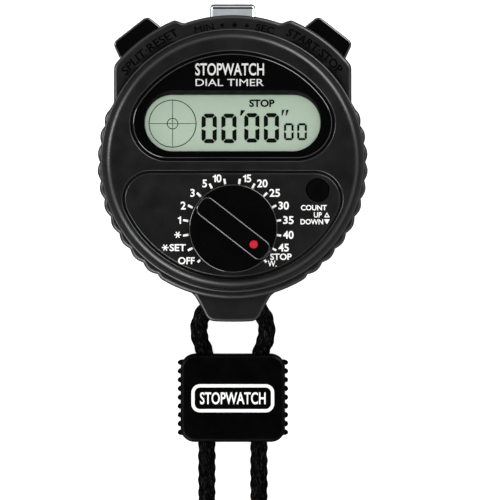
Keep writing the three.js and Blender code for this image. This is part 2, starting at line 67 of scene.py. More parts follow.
def make_camera():
    data = bpy.data.cameras.new("camera")
    data.sensor_width = 36
    data.lens = data.sensor_width / 2 * (CAMERA_HEIGHT - VIEW_LEVEL) / VIEW_HALF
    camera = bpy.data.objects.new("camera", data)
    camera.location = Vector((*VIEW_CENTRE, CAMERA_HEIGHT)) * MM
    bpy.context.scene.collection.objects.link(camera)
    bpy.context.scene.camera = camera


make_camera()

# ---- mesh tools


def link(name, mesh):
    piece = bpy.data.objects.new(name, mesh)
    bpy.context.scene.collection.objects.link(piece)
    return piece


def evaluated_mesh(piece):
    bpy.context.view_layer.update()
    return bpy.data.meshes.new_from_object(piece.evaluated_get(bpy.context.evaluated_depsgraph_get()))


def apply_modifiers(piece):
    mesh = evaluated_mesh(piece)
    piece.modifiers.clear()
    piece.data = mesh


def shaded(piece, sharp):
    """Smooth over edges below an angle in degrees, with flat faces kept flat beside small ones."""
    piece.data.shade_smooth()
    piece.data.set_sharp_from_angle(angle=math.radians(sharp))
    piece.modifiers.new("even", "WEIGHTED_NORMAL").keep_sharp = True
    apply_modifiers(piece)
    return piece


def weld(bm):
    bmesh.ops.remove_doubles(bm, verts=bm.verts, dist=2e-6)
    bmesh.ops.dissolve_degenerate(bm, edges=bm.edges, dist=1e-7)


def to_object(name, parts, sharp=32):
    """An object from a list of (vertices in mm, faces), welded, with its normals out."""
    bm = bmesh.new()
    for verts, faces in parts:
        made = [bm.verts.new((v[0] * MM, v[1] * MM, v[2] * MM)) for v in verts]
        for face in faces:
            corners = [made[i] for i in face]
            if len(set(face)) > 2 and not bm.faces.get(corners):
                bm.faces.new(corners)
    weld(bm)
    bmesh.ops.recalc_face_normals(bm, faces=bm.faces)
    mesh = bpy.data.meshes.new(name)
    bm.to_mesh(mesh)
    bm.free()
    return shaded(link(name, mesh), sharp)


def dress(piece, material, body, replaces=()):
    """Gives a finished piece its material and body, and hides the CAD nodes that it stands for."""
    piece.data.materials.clear()
    piece.data.materials.append(MATERIALS[material])
    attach(piece, body)
    if replaces:
        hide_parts(*replaces)
    return piece


def add(name, parts, material, body="case", replaces=(), sharp=32):
    return dress(to_object(name, parts, sharp), material, body, replaces)


def boolean(piece, operation, *tools):
    """Cuts or joins closed tools into a piece, then removes them."""
    for tool in tools:
        step = piece.modifiers.new("boolean", "BOOLEAN")
        step.operation, step.solver, step.object = operation, "EXACT", tool
        apply_modifiers(piece)
        bpy.data.objects.remove(tool)
    bm = bmesh.new()
    bm.from_mesh(piece.data)
    weld(bm)
    bm.to_mesh(piece.data)
    bm.free()
    return shaded(piece, 32)


def at_height(outline, z):
    return [(x, y, z) for x, y in outline]


def loft(rings, closed=False):
    """Quads between rings of equally many points. With closed, the last ring joins the first."""
    count = len(rings[0])
    verts = [v for ring in rings for v in ring]
    faces = []
    for a in range(len(rings) if closed else len(rings) - 1):
        b = (a + 1) % len(rings)
        for i in range(count):
            j = (i + 1) % count
            faces.append((a * count + i, a * count + j, b * count + j, b * count + i))
    return verts, faces


def wall(levels):
    """Quads up through levels of (outline, height)."""
    return loft([at_height(outline, z) for outline, z in levels])


def cap(ring):
    return list(ring), [tuple(range(len(ring)))]


def fill(loops, z):
    """A flat face inside the first loop, with the other loops as holes or as islands in them."""
    curve = bpy.data.curves.new("fill", "CURVE")
    curve.dimensions, curve.fill_mode = "2D", "BOTH"
    for loop in loops:
        path = curve.splines.new("POLY")
        path.points.add(len(loop) - 1)
        path.points.foreach_set("co", [c for x, y in loop for c in (x, y, 0, 1)])
        path.use_cyclic_u = True
    carrier = link("fill", curve)
    mesh = evaluated_mesh(carrier)
    verts = [(v.co.x, v.co.y, z) for v in mesh.vertices]
    faces = [tuple(p.vertices) for p in mesh.polygons]
    bpy.data.objects.remove(carrier)
    return verts, faces


def lathe(profile, x=0, y=0, segments=64):
    """A profile of (radius, height) turned round the vertical through (x, y)."""
    return wall((circle(r, x, y, segments), z) for r, z in profile)


def box(x0, x1, y0, y1, z0, z1):
    base = [(x0, y0), (x1, y0), (x1, y1), (x0, y1)]
    return [wall([(base, z0), (base, z1)]), cap(at_height(base, z0)), cap(at_height(base, z1))]


def turned(points, turn, x=0.0, y=0.0):
    """Points of (x, y) turned about the origin by degrees, then shifted."""
    c, s = math.cos(math.radians(turn)), math.sin(math.radians(turn))
    return [(c * a - s * b + x, s * a + c * b + y) for a, b in points]


def moved(parts, turn=0.0, x=0.0, y=0.0):
    """The parts turned about Z by degrees, then shifted."""
    placed = []
    for verts, faces in parts:
        flat = turned([v[:2] for v in verts], turn, x, y)
        placed.append(([(*point, v[2]) for point, v in zip(flat, verts)], faces))
    return placed


def laid_outward(parts, height):
    """Parts made along +Z, laid along +Y with their axis at that height."""
    return [([(x, z, height - y) for x, y, z in verts], faces) for verts, faces in parts]


# ---- outlines, as lists of (x, y)


def polar(r, degrees, x=0.0, y=0.0):
    """The point at that distance and angle from (x, y)."""
    a = math.radians(degrees)
    return x + r * math.cos(a), y + r * math.sin(a)


def circle(r, x=0.0, y=0.0, segments=64):
    return [polar(r, 360 * i / segments, x, y) for i in range(segments)]


def arc(x, y, r, start, end, steps):
    """Points from one angle in degrees to another, both included."""
    return [polar(r, start + (end - start) * i / steps, x, y) for i in range(steps + 1)]


def spline(points, steps):
    """A Catmull-Rom curve through the points, with that many steps from each to the next."""
    p = np.array(points, float)
    p = np.vstack([2 * p[0] - p[1], p, 2 * p[-1] - p[-2]])
    t = np.linspace(0, 1, steps, endpoint=False)[:, None]
    runs = []
    for a, b, c, d in zip(p, p[1:], p[2:], p[3:]):
        cubic = (3 * b - a - 3 * c + d) * t**3 + (2 * a - 5 * b + 4 * c - d) * t**2 + (c - a) * t
        runs.append(cubic / 2 + b)
    return np.vstack([*runs, p[-2]])


def tidy_loop(points, least=0.004):
    """Leaves out points that repeat the one before."""
    kept = []
    for p in points:
        if not kept or math.dist(p, kept[-1]) > least:
            kept.append(p)
    if math.dist(kept[0], kept[-1]) < least:
        kept.pop()
    return kept


def rounded(corners, radius, steps=6):
    """A polygon with each corner turned into an arc that touches its two sides."""
    points = []
    count = len(corners)
    for i in range(count):
        before, here, after = (Vector(corners[(i + k) % count]) for k in (-1, 0, 1))
        a, b = (before - here).normalized(), (after - here).normalized()
        half = math.acos(max(-1, min(1, a.dot(b)))) / 2
        r = radius[i] if isinstance(radius, (list, tuple)) else radius
        r = min(r, 0.49 * min((before - here).length, (after - here).length) * math.tan(half))
        centre = here + (a + b).normalized() * (r / math.sin(half))
        start = here + a * (r / math.tan(half)) - centre
        end = here + b * (r / math.tan(half)) - centre
        sweep = start.angle_signed(end)
        for k in range(steps + 1):
            t = -sweep * k / steps
            x = start.x * math.cos(t) - start.y * math.sin(t)
            y = start.x * math.sin(t) + start.y * math.cos(t)
            points.append((centre.x + x, centre.y + y))
    return points


def unit(vectors):
    return vectors / np.linalg.norm(vectors, axis=1)[:, None]


def leftward(along):
    """Unit vectors a quarter turn anticlockwise from those given."""
    return unit(along)[:, ::-1] * (-1, 1)


def inset(outline, distance):
    """Each point of an anticlockwise outline moved inwards along its own normal."""
    p = np.array(outline)
    return [tuple(q) for q in p + distance * leftward(np.roll(p, -1, 0) - np.roll(p, 1, 0))]


def edge_round(radius, low, high, steps=5):
    """(inset, height) pairs up a wall whose lower and upper edges are rounded."""
    quarter = [math.radians(90 * i / steps) for i in range(steps + 1)]
    up = [(radius * (1 - math.sin(a)), low + radius * (1 - math.cos(a))) for a in quarter]
    down = [(i, high + low - z) for i, z in reversed(up)]
    return up + down


def solid(outline, walls):
    """A closed solid: outline(trim) gives its edge, and walls its (trim, height) pairs from the bottom."""
    rings = [at_height(outline(trim), z) for trim, z in walls]
    return [loft(rings), cap(rings[0]), cap(rings[-1])]


# ---- materials


MIX_FACTOR, MIX_A, MIX_B, MIX_RESULT = 0, 6, 7, 2  # a Mix node's sockets for colours


def grey(level):
    return level, level, level


class Nodes:
    """A material's nodes, with coordinates in the row frame's metres unless a piece has its own."""

    def __init__(self, name, roughness, metallic=0.0, coat=0.0, coordinates="Object"):
        self.material = bpy.data.materials.new(name)
        self.material.use_nodes = True
        self.tree = self.material.node_tree
        self.shader = self.tree.nodes["Principled BSDF"]
        self.shader.inputs["Roughness"].default_value = roughness
        self.shader.inputs["Metallic"].default_value = metallic
        self.shader.inputs["Coat Weight"].default_value = coat
        self.coordinates = self.tree.nodes.new("ShaderNodeTexCoord").outputs[coordinates]

    def new(self, kind, **sockets):
        node = self.tree.nodes.new(kind)
        for key, value in sockets.items():
            socket = node.inputs[key.replace("_", " ")]
            if isinstance(value, bpy.types.NodeSocket):
                self.tree.links.new(value, socket)
            else:
                socket.default_value = value
        return node

    def noise(self, size, detail=2.0, stretch=(1, 1, 1), turn=0.0, offset=0.0):
        """Noise whose lumps are about size mm across, longer where stretch is more than 1."""
        place = self.new("ShaderNodeMapping", Vector=self.coordinates)
        place.inputs["Scale"].default_value = [1 / s for s in stretch]
        place.inputs["Rotation"].default_value = (0, 0, math.radians(turn))
        place.inputs["Location"].default_value = (offset, offset, 0)
        vector = place.outputs[0]
        return self.new("ShaderNodeTexNoise", Vector=vector, Scale=1000 / size, Detail=detail).outputs["Fac"]

    def between(self, value, low, high, start=0.3, end=0.7):
        """A number that runs from low to high as value runs from start to end."""
        sockets = {"From_Min": start, "From_Max": end, "To_Min": low, "To_Max": high}
        return self.new("ShaderNodeMapRange", Value=value, **sockets).outputs[0]

    def blend(self, value, dark, light):
        mix = self.tree.nodes.new("ShaderNodeMix")
        mix.data_type = "RGBA"
        mix.inputs[MIX_A].default_value = (*dark, 1)
        mix.inputs[MIX_B].default_value = (*light, 1)
        self.tree.links.new(value, mix.inputs[MIX_FACTOR])
        return mix.outputs[MIX_RESULT]

    def combine(self, operation, a, b):
        """Two numbers made into one, by a sum or another operation."""
        node = self.tree.nodes.new("ShaderNodeMath")
        node.operation = operation
        self.tree.links.new(a, node.inputs[0])
        self.tree.links.new(b, node.inputs[1])
        return node.outputs[0]

    def paint(self, socket, value):
        self.tree.links.new(value, self.shader.inputs[socket])

    def bump(self, height, depth, strength=1.0):
        """Relief of that depth in mm."""
        made = self.new("ShaderNodeBump", Height=height, Distance=depth * MM, Strength=strength)
        self.paint("Normal", made.outputs[0])


def moulded(name, dark, light, patch, rough, grain, depth,
            metallic=0.0, coat=0.0, specular=0.5, stretch=(1, 1, 1)):
    """A surface with patches of two close colours, uneven gloss and a fine grain, with sizes in mm."""
    n = Nodes(name, rough[0], metallic, coat)
    n.shader.inputs["Specular IOR Level"].default_value = specular
    n.paint("Base Color", n.blend(n.between(n.noise(patch, 4), 0, 1), dark, light))
    n.paint("Roughness", n.between(n.noise(patch * 0.6, 5, offset=0.013), *rough))
    n.bump(n.noise(grain, 3, stretch), depth)
    return n.material


def display_cell():
    """The liquid crystal: grey-green, a little cloudy, lightest at its foot, under a sheet of glass."""
    n = Nodes("liquid_crystal", 0.35, coat=0.6)
    n.shader.inputs["Coat Roughness"].default_value = 0.04
    split = n.new("ShaderNodeSeparateXYZ", Vector=n.coordinates)
    rise = n.between(split.outputs["Y"], 0, 1, 0.001, 0.019)
    cloud = n.between(n.noise(9, 3), -0.12, 0.12)
    shade = n.combine("ADD", rise, cloud)
    n.paint("Base Color", n.blend(shade, (0.53, 0.665, 0.52), (0.44, 0.565, 0.435)))
    n.bump(n.noise(0.3, 2), 0.001)
    return n.material


def clear_window():
    """Acrylic with a trace of wiping marks. It hides only a little of what is under it."""
    n = Nodes("clear_acrylic", 0.03)
    n.paint("Base Color", n.blend(n.noise(6), (0.001, 0.0012, 0.0012), (0.002, 0.0022, 0.0022)))
    n.paint("Roughness", n.between(n.noise(3, 5, (6, 1, 1), 30), 0.02, 0.09))
    n.shader.inputs["Alpha"].default_value = 0.1
    return n.material


def braid():
    """Shiny synthetic fibre. The UVs run along the cord and round it, in centimetres."""
    n = Nodes("braided_cord", 0.5, coordinates="UV")
    n.coordinates = n.new("ShaderNodeVectorMath", Vector=n.coordinates).outputs[0]
    n.coordinates.node.operation = "SCALE"
    n.coordinates.node.inputs["Scale"].default_value = 0.01
    left, right = (n.noise(0.22, 3, (7, 1, 1), lean) for lean in (50, -50))
    strands = n.combine("MAXIMUM", left, right)
    shine = n.between(strands, 0, 1, 0.6, 0.82)
    # Painted sheen: the base colour is lighter where the strands shine, beside their real higher gloss there.
    n.paint("Base Color", n.blend(shine, grey(0.0002), (0.03, 0.03, 0.032)))
    n.paint("Roughness", n.between(strands, 0.7, 0.3, 0.45, 0.75))
    n.paint("Specular IOR Level", n.between(shine, 0.01, 0.4, 0, 1))
    n.bump(strands, 0.18, 0.9)
    return n.material


def circuit():
    """Green solder mask with the faint squares of the copper under it."""
    n = Nodes("solder_mask", 0.35, coat=0.3)
    cells = n.new("ShaderNodeTexBrick", Vector=n.coordinates, Scale=160.0, Mortar_Size=0.03)
    n.paint("Base Color", n.blend(cells.outputs["Fac"], (0.012, 0.1, 0.035), (0.02, 0.16, 0.06)))
    n.bump(cells.outputs["Fac"], 0.03)
    return n.material


MATERIALS = {
    "shell": moulded("grained_plastic", (0.0026, 0.0027, 0.003), (0.004, 0.0041, 0.0045), 7, (0.28, 0.36),
                     0.4, 0.03, specular=0.44),
    # A lit copy of the grained plastic: painted lighter for the middle shell, to offset the shade beside the
    # bezel.
    "middle": moulded("grained_plastic_painted_lighter", (0.0052, 0.0051, 0.005), (0.0068, 0.0067, 0.0065), 7,
                      (0.28, 0.36), 0.4, 0.03, specular=0.44),
    "gloss": moulded("polished_plastic", (0.0008, 0.0008, 0.0009), (0.0014, 0.0014, 0.0016), 5, (0.05, 0.12),
                     2.5, 0.001, coat=0.6),
    "slider": moulded("moulded_black", grey(0.0002), grey(0.0006), 5, (0.3, 0.4), 0.4, 0.003, specular=0.05),
    "print_black": moulded("back_print", (0.0012, 0.0012, 0.0013), (0.002, 0.002, 0.0021), 9, (0.05, 0.09),
                           3, 0.001),
    "white": moulded("white_ink", (0.8, 0.8, 0.78), (0.92, 0.92, 0.9), 1.2, (0.45, 0.6), 0.12, 0.006),
    "ink": moulded("dark_ink", grey(0.0012), grey(0.0024), 1.5, (0.5, 0.7), 0.15, 0.006, specular=0.1),
    "letter": moulded("letter_black", grey(0.0001), grey(0.0004), 1.5, (0.6, 0.8), 0.15, 0.006,
                      specular=0.02),
    "segment": moulded("segment_black", (0.001, 0.0014, 0.0011), (0.002, 0.0025, 0.002), 1, (0.4, 0.5),
                       0.2, 0.001, specular=0.1),
    "chrome": moulded("polished_chrome", (0.74, 0.79, 0.82), (0.84, 0.89, 0.92), 3, (0.04, 0.14), 0.4, 0.002,
                      metallic=1.0, stretch=(6, 1, 1)),
    "steel": moulded("bright_steel", (0.42, 0.42, 0.43), (0.6, 0.6, 0.61), 2, (0.22, 0.4), 0.15, 0.006,
                     metallic=1.0, stretch=(10, 1, 1)),
    "brass": moulded("rolled_brass", (0.42, 0.28, 0.09), (0.6, 0.43, 0.17), 2, (0.2, 0.4), 0.15, 0.005,
                     metallic=1.0, stretch=(1, 8, 1)),
    "rubber": moulded("soft_rubber", grey(0.002), grey(0.005), 2, (0.6, 0.8), 0.15, 0.02, specular=0.2),
    "white_plastic": moulded("natural_plastic", (0.62, 0.6, 0.54), (0.76, 0.74, 0.69), 6, (0.4, 0.55),
                             0.3, 0.01),
    "foil": moulded("satin_foil", (0.5, 0.55, 0.5), (0.66, 0.7, 0.66), 2, (0.3, 0.45), 0.2, 0.005,
                    metallic=0.8),
    "red": moulded("red_enamel", (0.4, 0.002, 0.016), (0.5, 0.004, 0.026), 0.8, (0.2, 0.35), 0.3, 0.006,
                   specular=0.2),
    "display": display_cell(),
    "lens": clear_window(),
    "cord": braid(),
    "board": circuit(),
}

# ---- neck cord

CORD_DIAMETER = 4.6
CORD_STEP = 0.45  # from ring to ring of its mesh
CORD_RELIEF = 0.4  # depth of the braid
COIL_CENTRE = (0, -131.7)
COIL_PITCH = 9.5  # both strands' tracks in one turn
COIL_START = (110, 37.3)  # degrees and radius at which the left strand joins the coil
COIL_RIGHT_START = 92.4
LOBE_R = 9.2  # each half of the S in the middle, where one strand becomes the other
TIE = {"angle": 286.2, "inner": 14.3, "outer": 36.2, "width": 6, "thick": 0.8, "top": 6.6}

# The route of each strand's centre, from the joint inside the lug to the coil.
STRAND = [
    (0.2, -33.8, 6.2), (1, -33.8, 6.2), (2.7, -34.2, 6.2), (4.5, -35, 6.2), (6.2, -36.4, 6.2),
    (7.6, -38.2, 6.1), (8.5, -40.3, 6), (8.8, -42.6, 5.75), (8.5, -44.8, 5.35), (7.75, -46.8, 4.85),
    (7, -48.8, 4.4), (6.7, -51, 4.1), (6.7, -54, 4), (6.7, -60, 4), (6.7, -68, 4), (6.7, -76, 4),
    (6.7, -83.5, 4),
]
LEFT_END = [
    (-6.7, -86, 3.85), (-6.7, -88, 3.45), (-7.26, -91.15, 2.8), (-8.85, -93.9, 2.4), (-11.3, -95.97, 2.3),
    (-12.75, -96.65, 2.3),
]
RIGHT_END = [
    (6.7, -86.5, 3.8), (6.7, -89.6, 3.1), (6.15, -92.75, 2.55), (4.55, -95.5, 2.3), (2.1, -97.57, 2.3),
    (-1.38, -98.73, 2.3),
]


def coil_radius(angle):
    """The left strand's radius. The right one lies half a pitch inside it."""
    return COIL_START[1] - COIL_PITCH * (angle - COIL_START[0]) / 360


def coil_point(angle, r, origin=COIL_CENTRE):
    return (*polar(r, angle, *origin[:2]), CORD_DIAMETER / 2)


def coil_route():
    """The turns of both strands and the S between them, from the left strand's end to the right's."""
    step = 10
    inner = COIL_START[0] + 360 * (COIL_START[1] - 2 * LOBE_R) / COIL_PITCH
    points = [coil_point(a, coil_radius(a)) for a in np.arange(COIL_START[0] + step, inner, step)]
    lobes = [coil_point(inner, LOBE_R), coil_point(inner + 180, LOBE_R)]
    points += [coil_point(inner + t, LOBE_R, lobes[0]) for t in range(0, 180, 12)]
    points += [coil_point(inner - t, LOBE_R, lobes[1]) for t in range(0, 180, 12)]
    outward = np.arange(inner - 180, COIL_RIGHT_START + step / 2, -step)
    return points + [coil_point(a, coil_radius(a) - COIL_PITCH / 2) for a in outward]


def smooth_line(points, step):
    """A line through the points, evenly spaced and eased, and its length."""
    line = spline(points, 24)
    length = np.concatenate([[0], np.cumsum(np.linalg.norm(np.diff(line, axis=0), axis=1))])
    marks = np.linspace(0, length[-1], int(length[-1] / step))
    line = np.stack([np.interp(marks, length, line[:, k]) for k in range(3)], 1)
    eased = line.copy()
    reach = 4  # points on each side that one is averaged with
    for k in range(reach, len(line) - reach):
        eased[k] = line[k - reach:k + reach + 1].mean(0)
    return eased, length[-1]


def square_to(line):
    """Unit vectors square to a line at each of its points: level ones, and those square to them."""
    along = np.gradient(line, axis=0)
    level = unit(np.cross(along, (0, 0, 1)))
    return level, unit(np.cross(level, along))


def lifted_over_tie(line):
    """Where the band passes under the coil, the strands rise over it."""
    a = math.radians(TIE["angle"])
    out, across = np.array([math.cos(a), math.sin(a)]), np.array([-math.sin(a), math.cos(a)])
    place = line[:, :2] - np.array(COIL_CENTRE)
    hump, inner_edge, gap = 8, 10, 0.1
    near = np.exp(-((place @ across) / hump) ** 2) / (1 + np.exp(-(place @ out - inner_edge) * 2))
    line[:, 2] += (TIE["thick"] + gap) * near
    return line


def weave(along, around):
    """The height of a round braid's surface, from 0 to 1: strands cross over and under each other."""
    carriers, advance = 4, 3.1  # strands each way round, and mm along the cord from one to the next
    a = carriers * around / TURN + along / advance
    b = carriers * around / TURN - along / advance
    near_a, near_b = np.round(a), np.round(b)
    over_a = 0.5 + 0.5 * np.cos(math.pi * (b + near_a))
    over_b = 0.5 - 0.5 * np.cos(math.pi * (a + near_b))
    ridge_a = np.cos(math.pi * (a - near_a)) ** 0.7 * (0.5 + 0.5 * over_a)
    ridge_b = np.cos(math.pi * (b - near_b)) ** 0.7 * (0.5 + 0.5 * over_b)
    return np.maximum(ridge_a, ridge_b)


def make_cord():
    left = [(-x, y, z) for x, y, z in STRAND] + LEFT_END
    right = [*STRAND, *RIGHT_END]
    line, length = smooth_line([*left, *coil_route(), *reversed(right)], CORD_STEP)
    line = lifted_over_tie(line)
    sides = 28
    side, up = square_to(line)
    around = np.linspace(0, TURN, sides, endpoint=False)
    along = np.linspace(0, length, len(line))
    grid_along, grid_around = np.meshgrid(along, around, indexing="ij")
    # It isn't quite round.
    loose = 0.05 * np.sin(grid_along * 0.83) * np.sin(grid_around * 2 + grid_along * 0.31)
    radius = CORD_DIAMETER / 2 - CORD_RELIEF + CORD_RELIEF * weave(grid_along, grid_around) + loose
    ring = side[:, None] * np.cos(around)[None, :, None] + up[:, None] * np.sin(around)[None, :, None]
    surface = line[:, None] + ring * radius[..., None]
    surface[..., 2] = np.maximum(surface[..., 2], 0.02)  # flattened where it lies on the table
    verts, faces = loft((surface * MM).tolist())
    ends = [tuple(range(sides - 1, -1, -1)), tuple(range(len(verts) - sides, len(verts)))]
    mesh = bpy.data.meshes.new("neck_cord")
    mesh.from_pydata(verts, [], faces + ends)
    mesh.update()
    uv = mesh.uv_layers.new(name="along_and_round")
    corners = np.zeros(len(mesh.loops), np.int32)
    mesh.loops.foreach_get("vertex_index", corners)
    row, column = corners // sides, corners % sides
    girth = column * (math.pi * CORD_DIAMETER / sides)
    uv.data.foreach_set("uv", np.stack([along[row] / 10, girth / 10], 1).ravel().astype(np.float32))
    mesh.shade_smooth()
    piece = dress(link("neck_cord", mesh), "cord", "case",
                  ["neck_cord_left", "neck_cord_right", "neck_cord_coil"])
    return piece, line[::2], length


def make_tie():
    """A flat rubber band round the coil's strands, with rounded corners."""
    low, high = TIE["thick"] / 2, TIE["top"] - TIE["thick"] / 2
    near, far = TIE["inner"] + TIE["thick"] / 2, TIE["outer"] - TIE["thick"] / 2
    middle = rounded([(near, low), (far, low), (far, high), (near, high)], 1.1, 8)
    half, thick = TIE["width"] / 2, TIE["thick"] / 2
    section = rounded([(-half, -thick), (half, -thick), (half, thick), (-half, thick)], 0.3, 4)
    rings = []
    for across, out in section:
        rings.append([(r, across, z) for r, z in inset(middle, -out)])
    return add("coil_tie", moved([loft(rings, True)], TIE["angle"], *COIL_CENTRE), "rubber", "case",
               ["cord_tie"])


cord, cord_line, cord_length = make_cord()
tie = make_tie()

# ---- lettering

CAPITAL_HEIGHT = 0.682  # of the built-in font, per unit of its size


def outline_loops(mesh):
    """The closed boundaries of a flat mesh, as lists of (x, y)."""
    bm = bmesh.new()
    bm.from_mesh(mesh)
    bmesh.ops.remove_doubles(bm, verts=bm.verts, dist=1e-4)
    after = {}
    for edge in bm.edges:
        if edge.is_boundary:
            corner = edge.link_loops[0]
            after.setdefault(corner.vert, []).append(corner.link_loop_next.vert)
    loops = []
    while after:
        here = next(iter(after))
        loop = []
        while here in after:
            loop.append((here.co.x, here.co.y))
            ends = after[here]
            following = ends.pop()
            if not ends:
                del after[here]
            here = following
        loops.append(loop)
    bm.free()
    return loops


def lettering(words, height, bold=0.0, width=None, steps=4):
    """Outlines of a centred line of letters that stands on y 0, with capitals of that height."""
    curve = bpy.data.curves.new("lettering", "FONT")
    curve.body, curve.offset, curve.resolution_u = words, bold, steps
    carrier = link("lettering", curve)
    loops = outline_loops(evaluated_mesh(carrier))
    bpy.data.objects.remove(carrier)
    xs = [x for loop in loops for x, _ in loop]
    scale_y = height / CAPITAL_HEIGHT
    scale_x = width / (max(xs) - min(xs)) if width else scale_y
    middle = (min(xs) + max(xs)) / 2
    return [tidy_loop([((x - middle) * scale_x, y * scale_y) for x, y in loop]) for loop in loops]


def shifted(loops, x, y):
    return [[(a + x, b + y) for a, b in loop] for loop in loops]


def half_width(loops):
    return max(x for loop in loops for x, _ in loop)


def on_arc(loops, r, middle):
    """Level lettering bent clockwise round the case's centre, about a middle angle in degrees."""
    return [[polar(r + y, middle - math.degrees(x / (r + y)), 0, CASE_Y) for x, y in loop] for loop in loops]


def plate(loops, low, high):
    """A closed plate whose edges are the loops."""
    return [fill(loops, low), fill(loops, high), *[wall([(loop, low), (loop, high)]) for loop in loops]]


def bar(x, y, length, width, turn):
    """A rectangle about (x, y) whose length lies along an angle in degrees."""
    a, b = length / 2, width / 2
    return turned([(-a, -b), (a, -b), (a, b), (-a, b)], turn, x, y)


# ---- middle shell

CASE_Y = 0.7  # the round case's centre
BODY_R = 33.65
FOOT_R = 35.2  # below the grips
ROUND_TO = 6  # degrees: below this, its radius grows
BODY_GROWTH = 0.015  # in mm per degree
GRIPS = {"height": 0.65, "pitch": 8, "first": -52.6, "count": 10}
FLANGE_R = 37.05
SHOULDER = {"x": 30.2, "r": 38.7, "end": 67, "blend": 4}
SIDE_ANGLE = 38  # degrees from the crown to each side button
PUSH_Z = 8  # the axes of the crown and the side buttons
SCREW_PLACES = [polar(27.2, angle, 0, CASE_Y) for angle in (15, 165, 215, 325)]
CAVITY_R = 30.6
LEDGE_R = 28.2
LEDGE_Z = (2.3, 4.3)
SEAL_R = 31.9  # the rear cover's seat
CASE_Z = (0.6, 14)


def body_radius(angle):
    """Between the grips."""
    return BODY_R + BODY_GROWTH * max(0, ROUND_TO - angle)


def case_edge():
    """The body's radius by angle in degrees, from straight down to straight up on the right."""
    start = GRIPS["first"] - GRIPS["pitch"] / 2
    ease, soft = 3, 0.22  # degrees of the step up to the foot, and the shoulder corner's softness in mm
    edge = [(a, FOOT_R) for a in np.arange(-90, start - ease, 2)]
    for t in np.arange(0, 1, 0.2):
        edge.append((start - ease * (1 - t), FOOT_R + (body_radius(start) - FOOT_R) * t**2))
    for i in range(GRIPS["count"]):
        for t in np.arange(0, 1, 0.1):
            a = start + (i + t) * GRIPS["pitch"]
            edge.append((a, body_radius(a) + GRIPS["height"] * math.sin(math.pi * t)))
    corner = math.degrees(math.acos(SHOULDER["x"] / BODY_R))
    for a in np.linspace(corner, SHOULDER["end"], 56):
        straight = SHOULDER["x"] / math.cos(math.radians(a))
        edge.append((a, -soft * math.log(math.exp(-straight / soft) + math.exp(-SHOULDER["r"] / soft))))
    drop = FLANGE_R - SHOULDER["r"]
    for t in np.arange(0.1, 1.01, 0.1):
        edge.append((SHOULDER["end"] + t * SHOULDER["blend"], SHOULDER["r"] + drop * t * t * (3 - 2 * t)))
    return edge + [(a, FLANGE_R) for a in np.arange(SHOULDER["end"] + SHOULDER["blend"] + 1, 90, 1)]


def case_outline(trim=0.0):
    right = case_edge()
    left = [(180 - a, r) for a, r in reversed(right)]
    return [polar(r - trim, a, 0, CASE_Y) for a, r in [*right, (90, FLANGE_R), *left[:-1]]]


def lug_outline(trim=0.0):
    """The cord lug: flared where it leaves the case, and rounded at its foot. Its ends aren't trimmed."""
    points = [(0, -40.35), (3, -40.3), (5.3, -40.1), (6.7, -39.2), (7.6, -37.5), (9, -34.9), (9.95, -33.5),
              (11.6, -32.35), (14.3, -31), (16.2, -29.8)]
    side = spline(points, 6)
    fade = np.clip((points[-1][0] - side[:, 0]) / 1.5, 0, 1)[:, None]
    right = [tuple(q) for q in side + trim * fade * leftward(np.gradient(side, axis=0))]
    left = [(-x, y) for x, y in reversed(right[1:])]
    return [*left, *right, *arc(0, CASE_Y, 31.2, -58, -122, 24)]


def to_side(parts, side):
    """Parts made for the case's top, turned to the shoulder on that side."""
    return moved(parts, -side * SIDE_ANGLE, 0, CASE_Y)


def to_both_sides(parts):
    return [*to_side(parts, 1), *to_side(parts, -1)]


def stepped_bore(steps):
    """A cutter along +Y: each step is (radius, start, end)."""
    profile = [(0, steps[0][1])]
    for r, start, end in steps:
        profile += [(r, start), (r, end)]
    return laid_outward([lathe([*profile, (0, steps[-1][2])], segments=24)], PUSH_Z)


def pipe(line, r, sides):
    """A closed round bar along a line that never turns straight up."""
    section = circle(r, segments=sides)
    rings = [[tuple(p + a * s + b * u) for a, b in section] for p, s, u in zip(line, *square_to(line))]
    return [loft(rings), cap(rings[0]), cap(rings[-1])]


def flange_lettering():
    """What each button does, round the flange."""
    loops = on_arc(lettering("SPLIT·RESET", 2, 0.012, 17.4), 34.6, 127.2)
    loops += on_arc(lettering("START·STOP", 2, 0.012, 17), 34.6, 53.2)
    loops += on_arc(lettering("MIN", 1.65, 0, 4.9), 33.65, 102.2)
    loops += on_arc(lettering("SEC", 1.65, 0.012, 4.8), 33.65, 76.2)
    arrow = [(-0.55, 0.6), (0.45, 0), (0.45, 1.2)]
    loops += on_arc([arrow], 33.9, 94.6)
    loops += on_arc([[(-x, y) for x, y in reversed(arrow)]], 33.9, 83.8)
    star = [polar(0.8 if i % 2 else 0.336, 126 + 36 * i) for i in range(10)]
    return loops + on_arc([star], 34.45, 89.2)


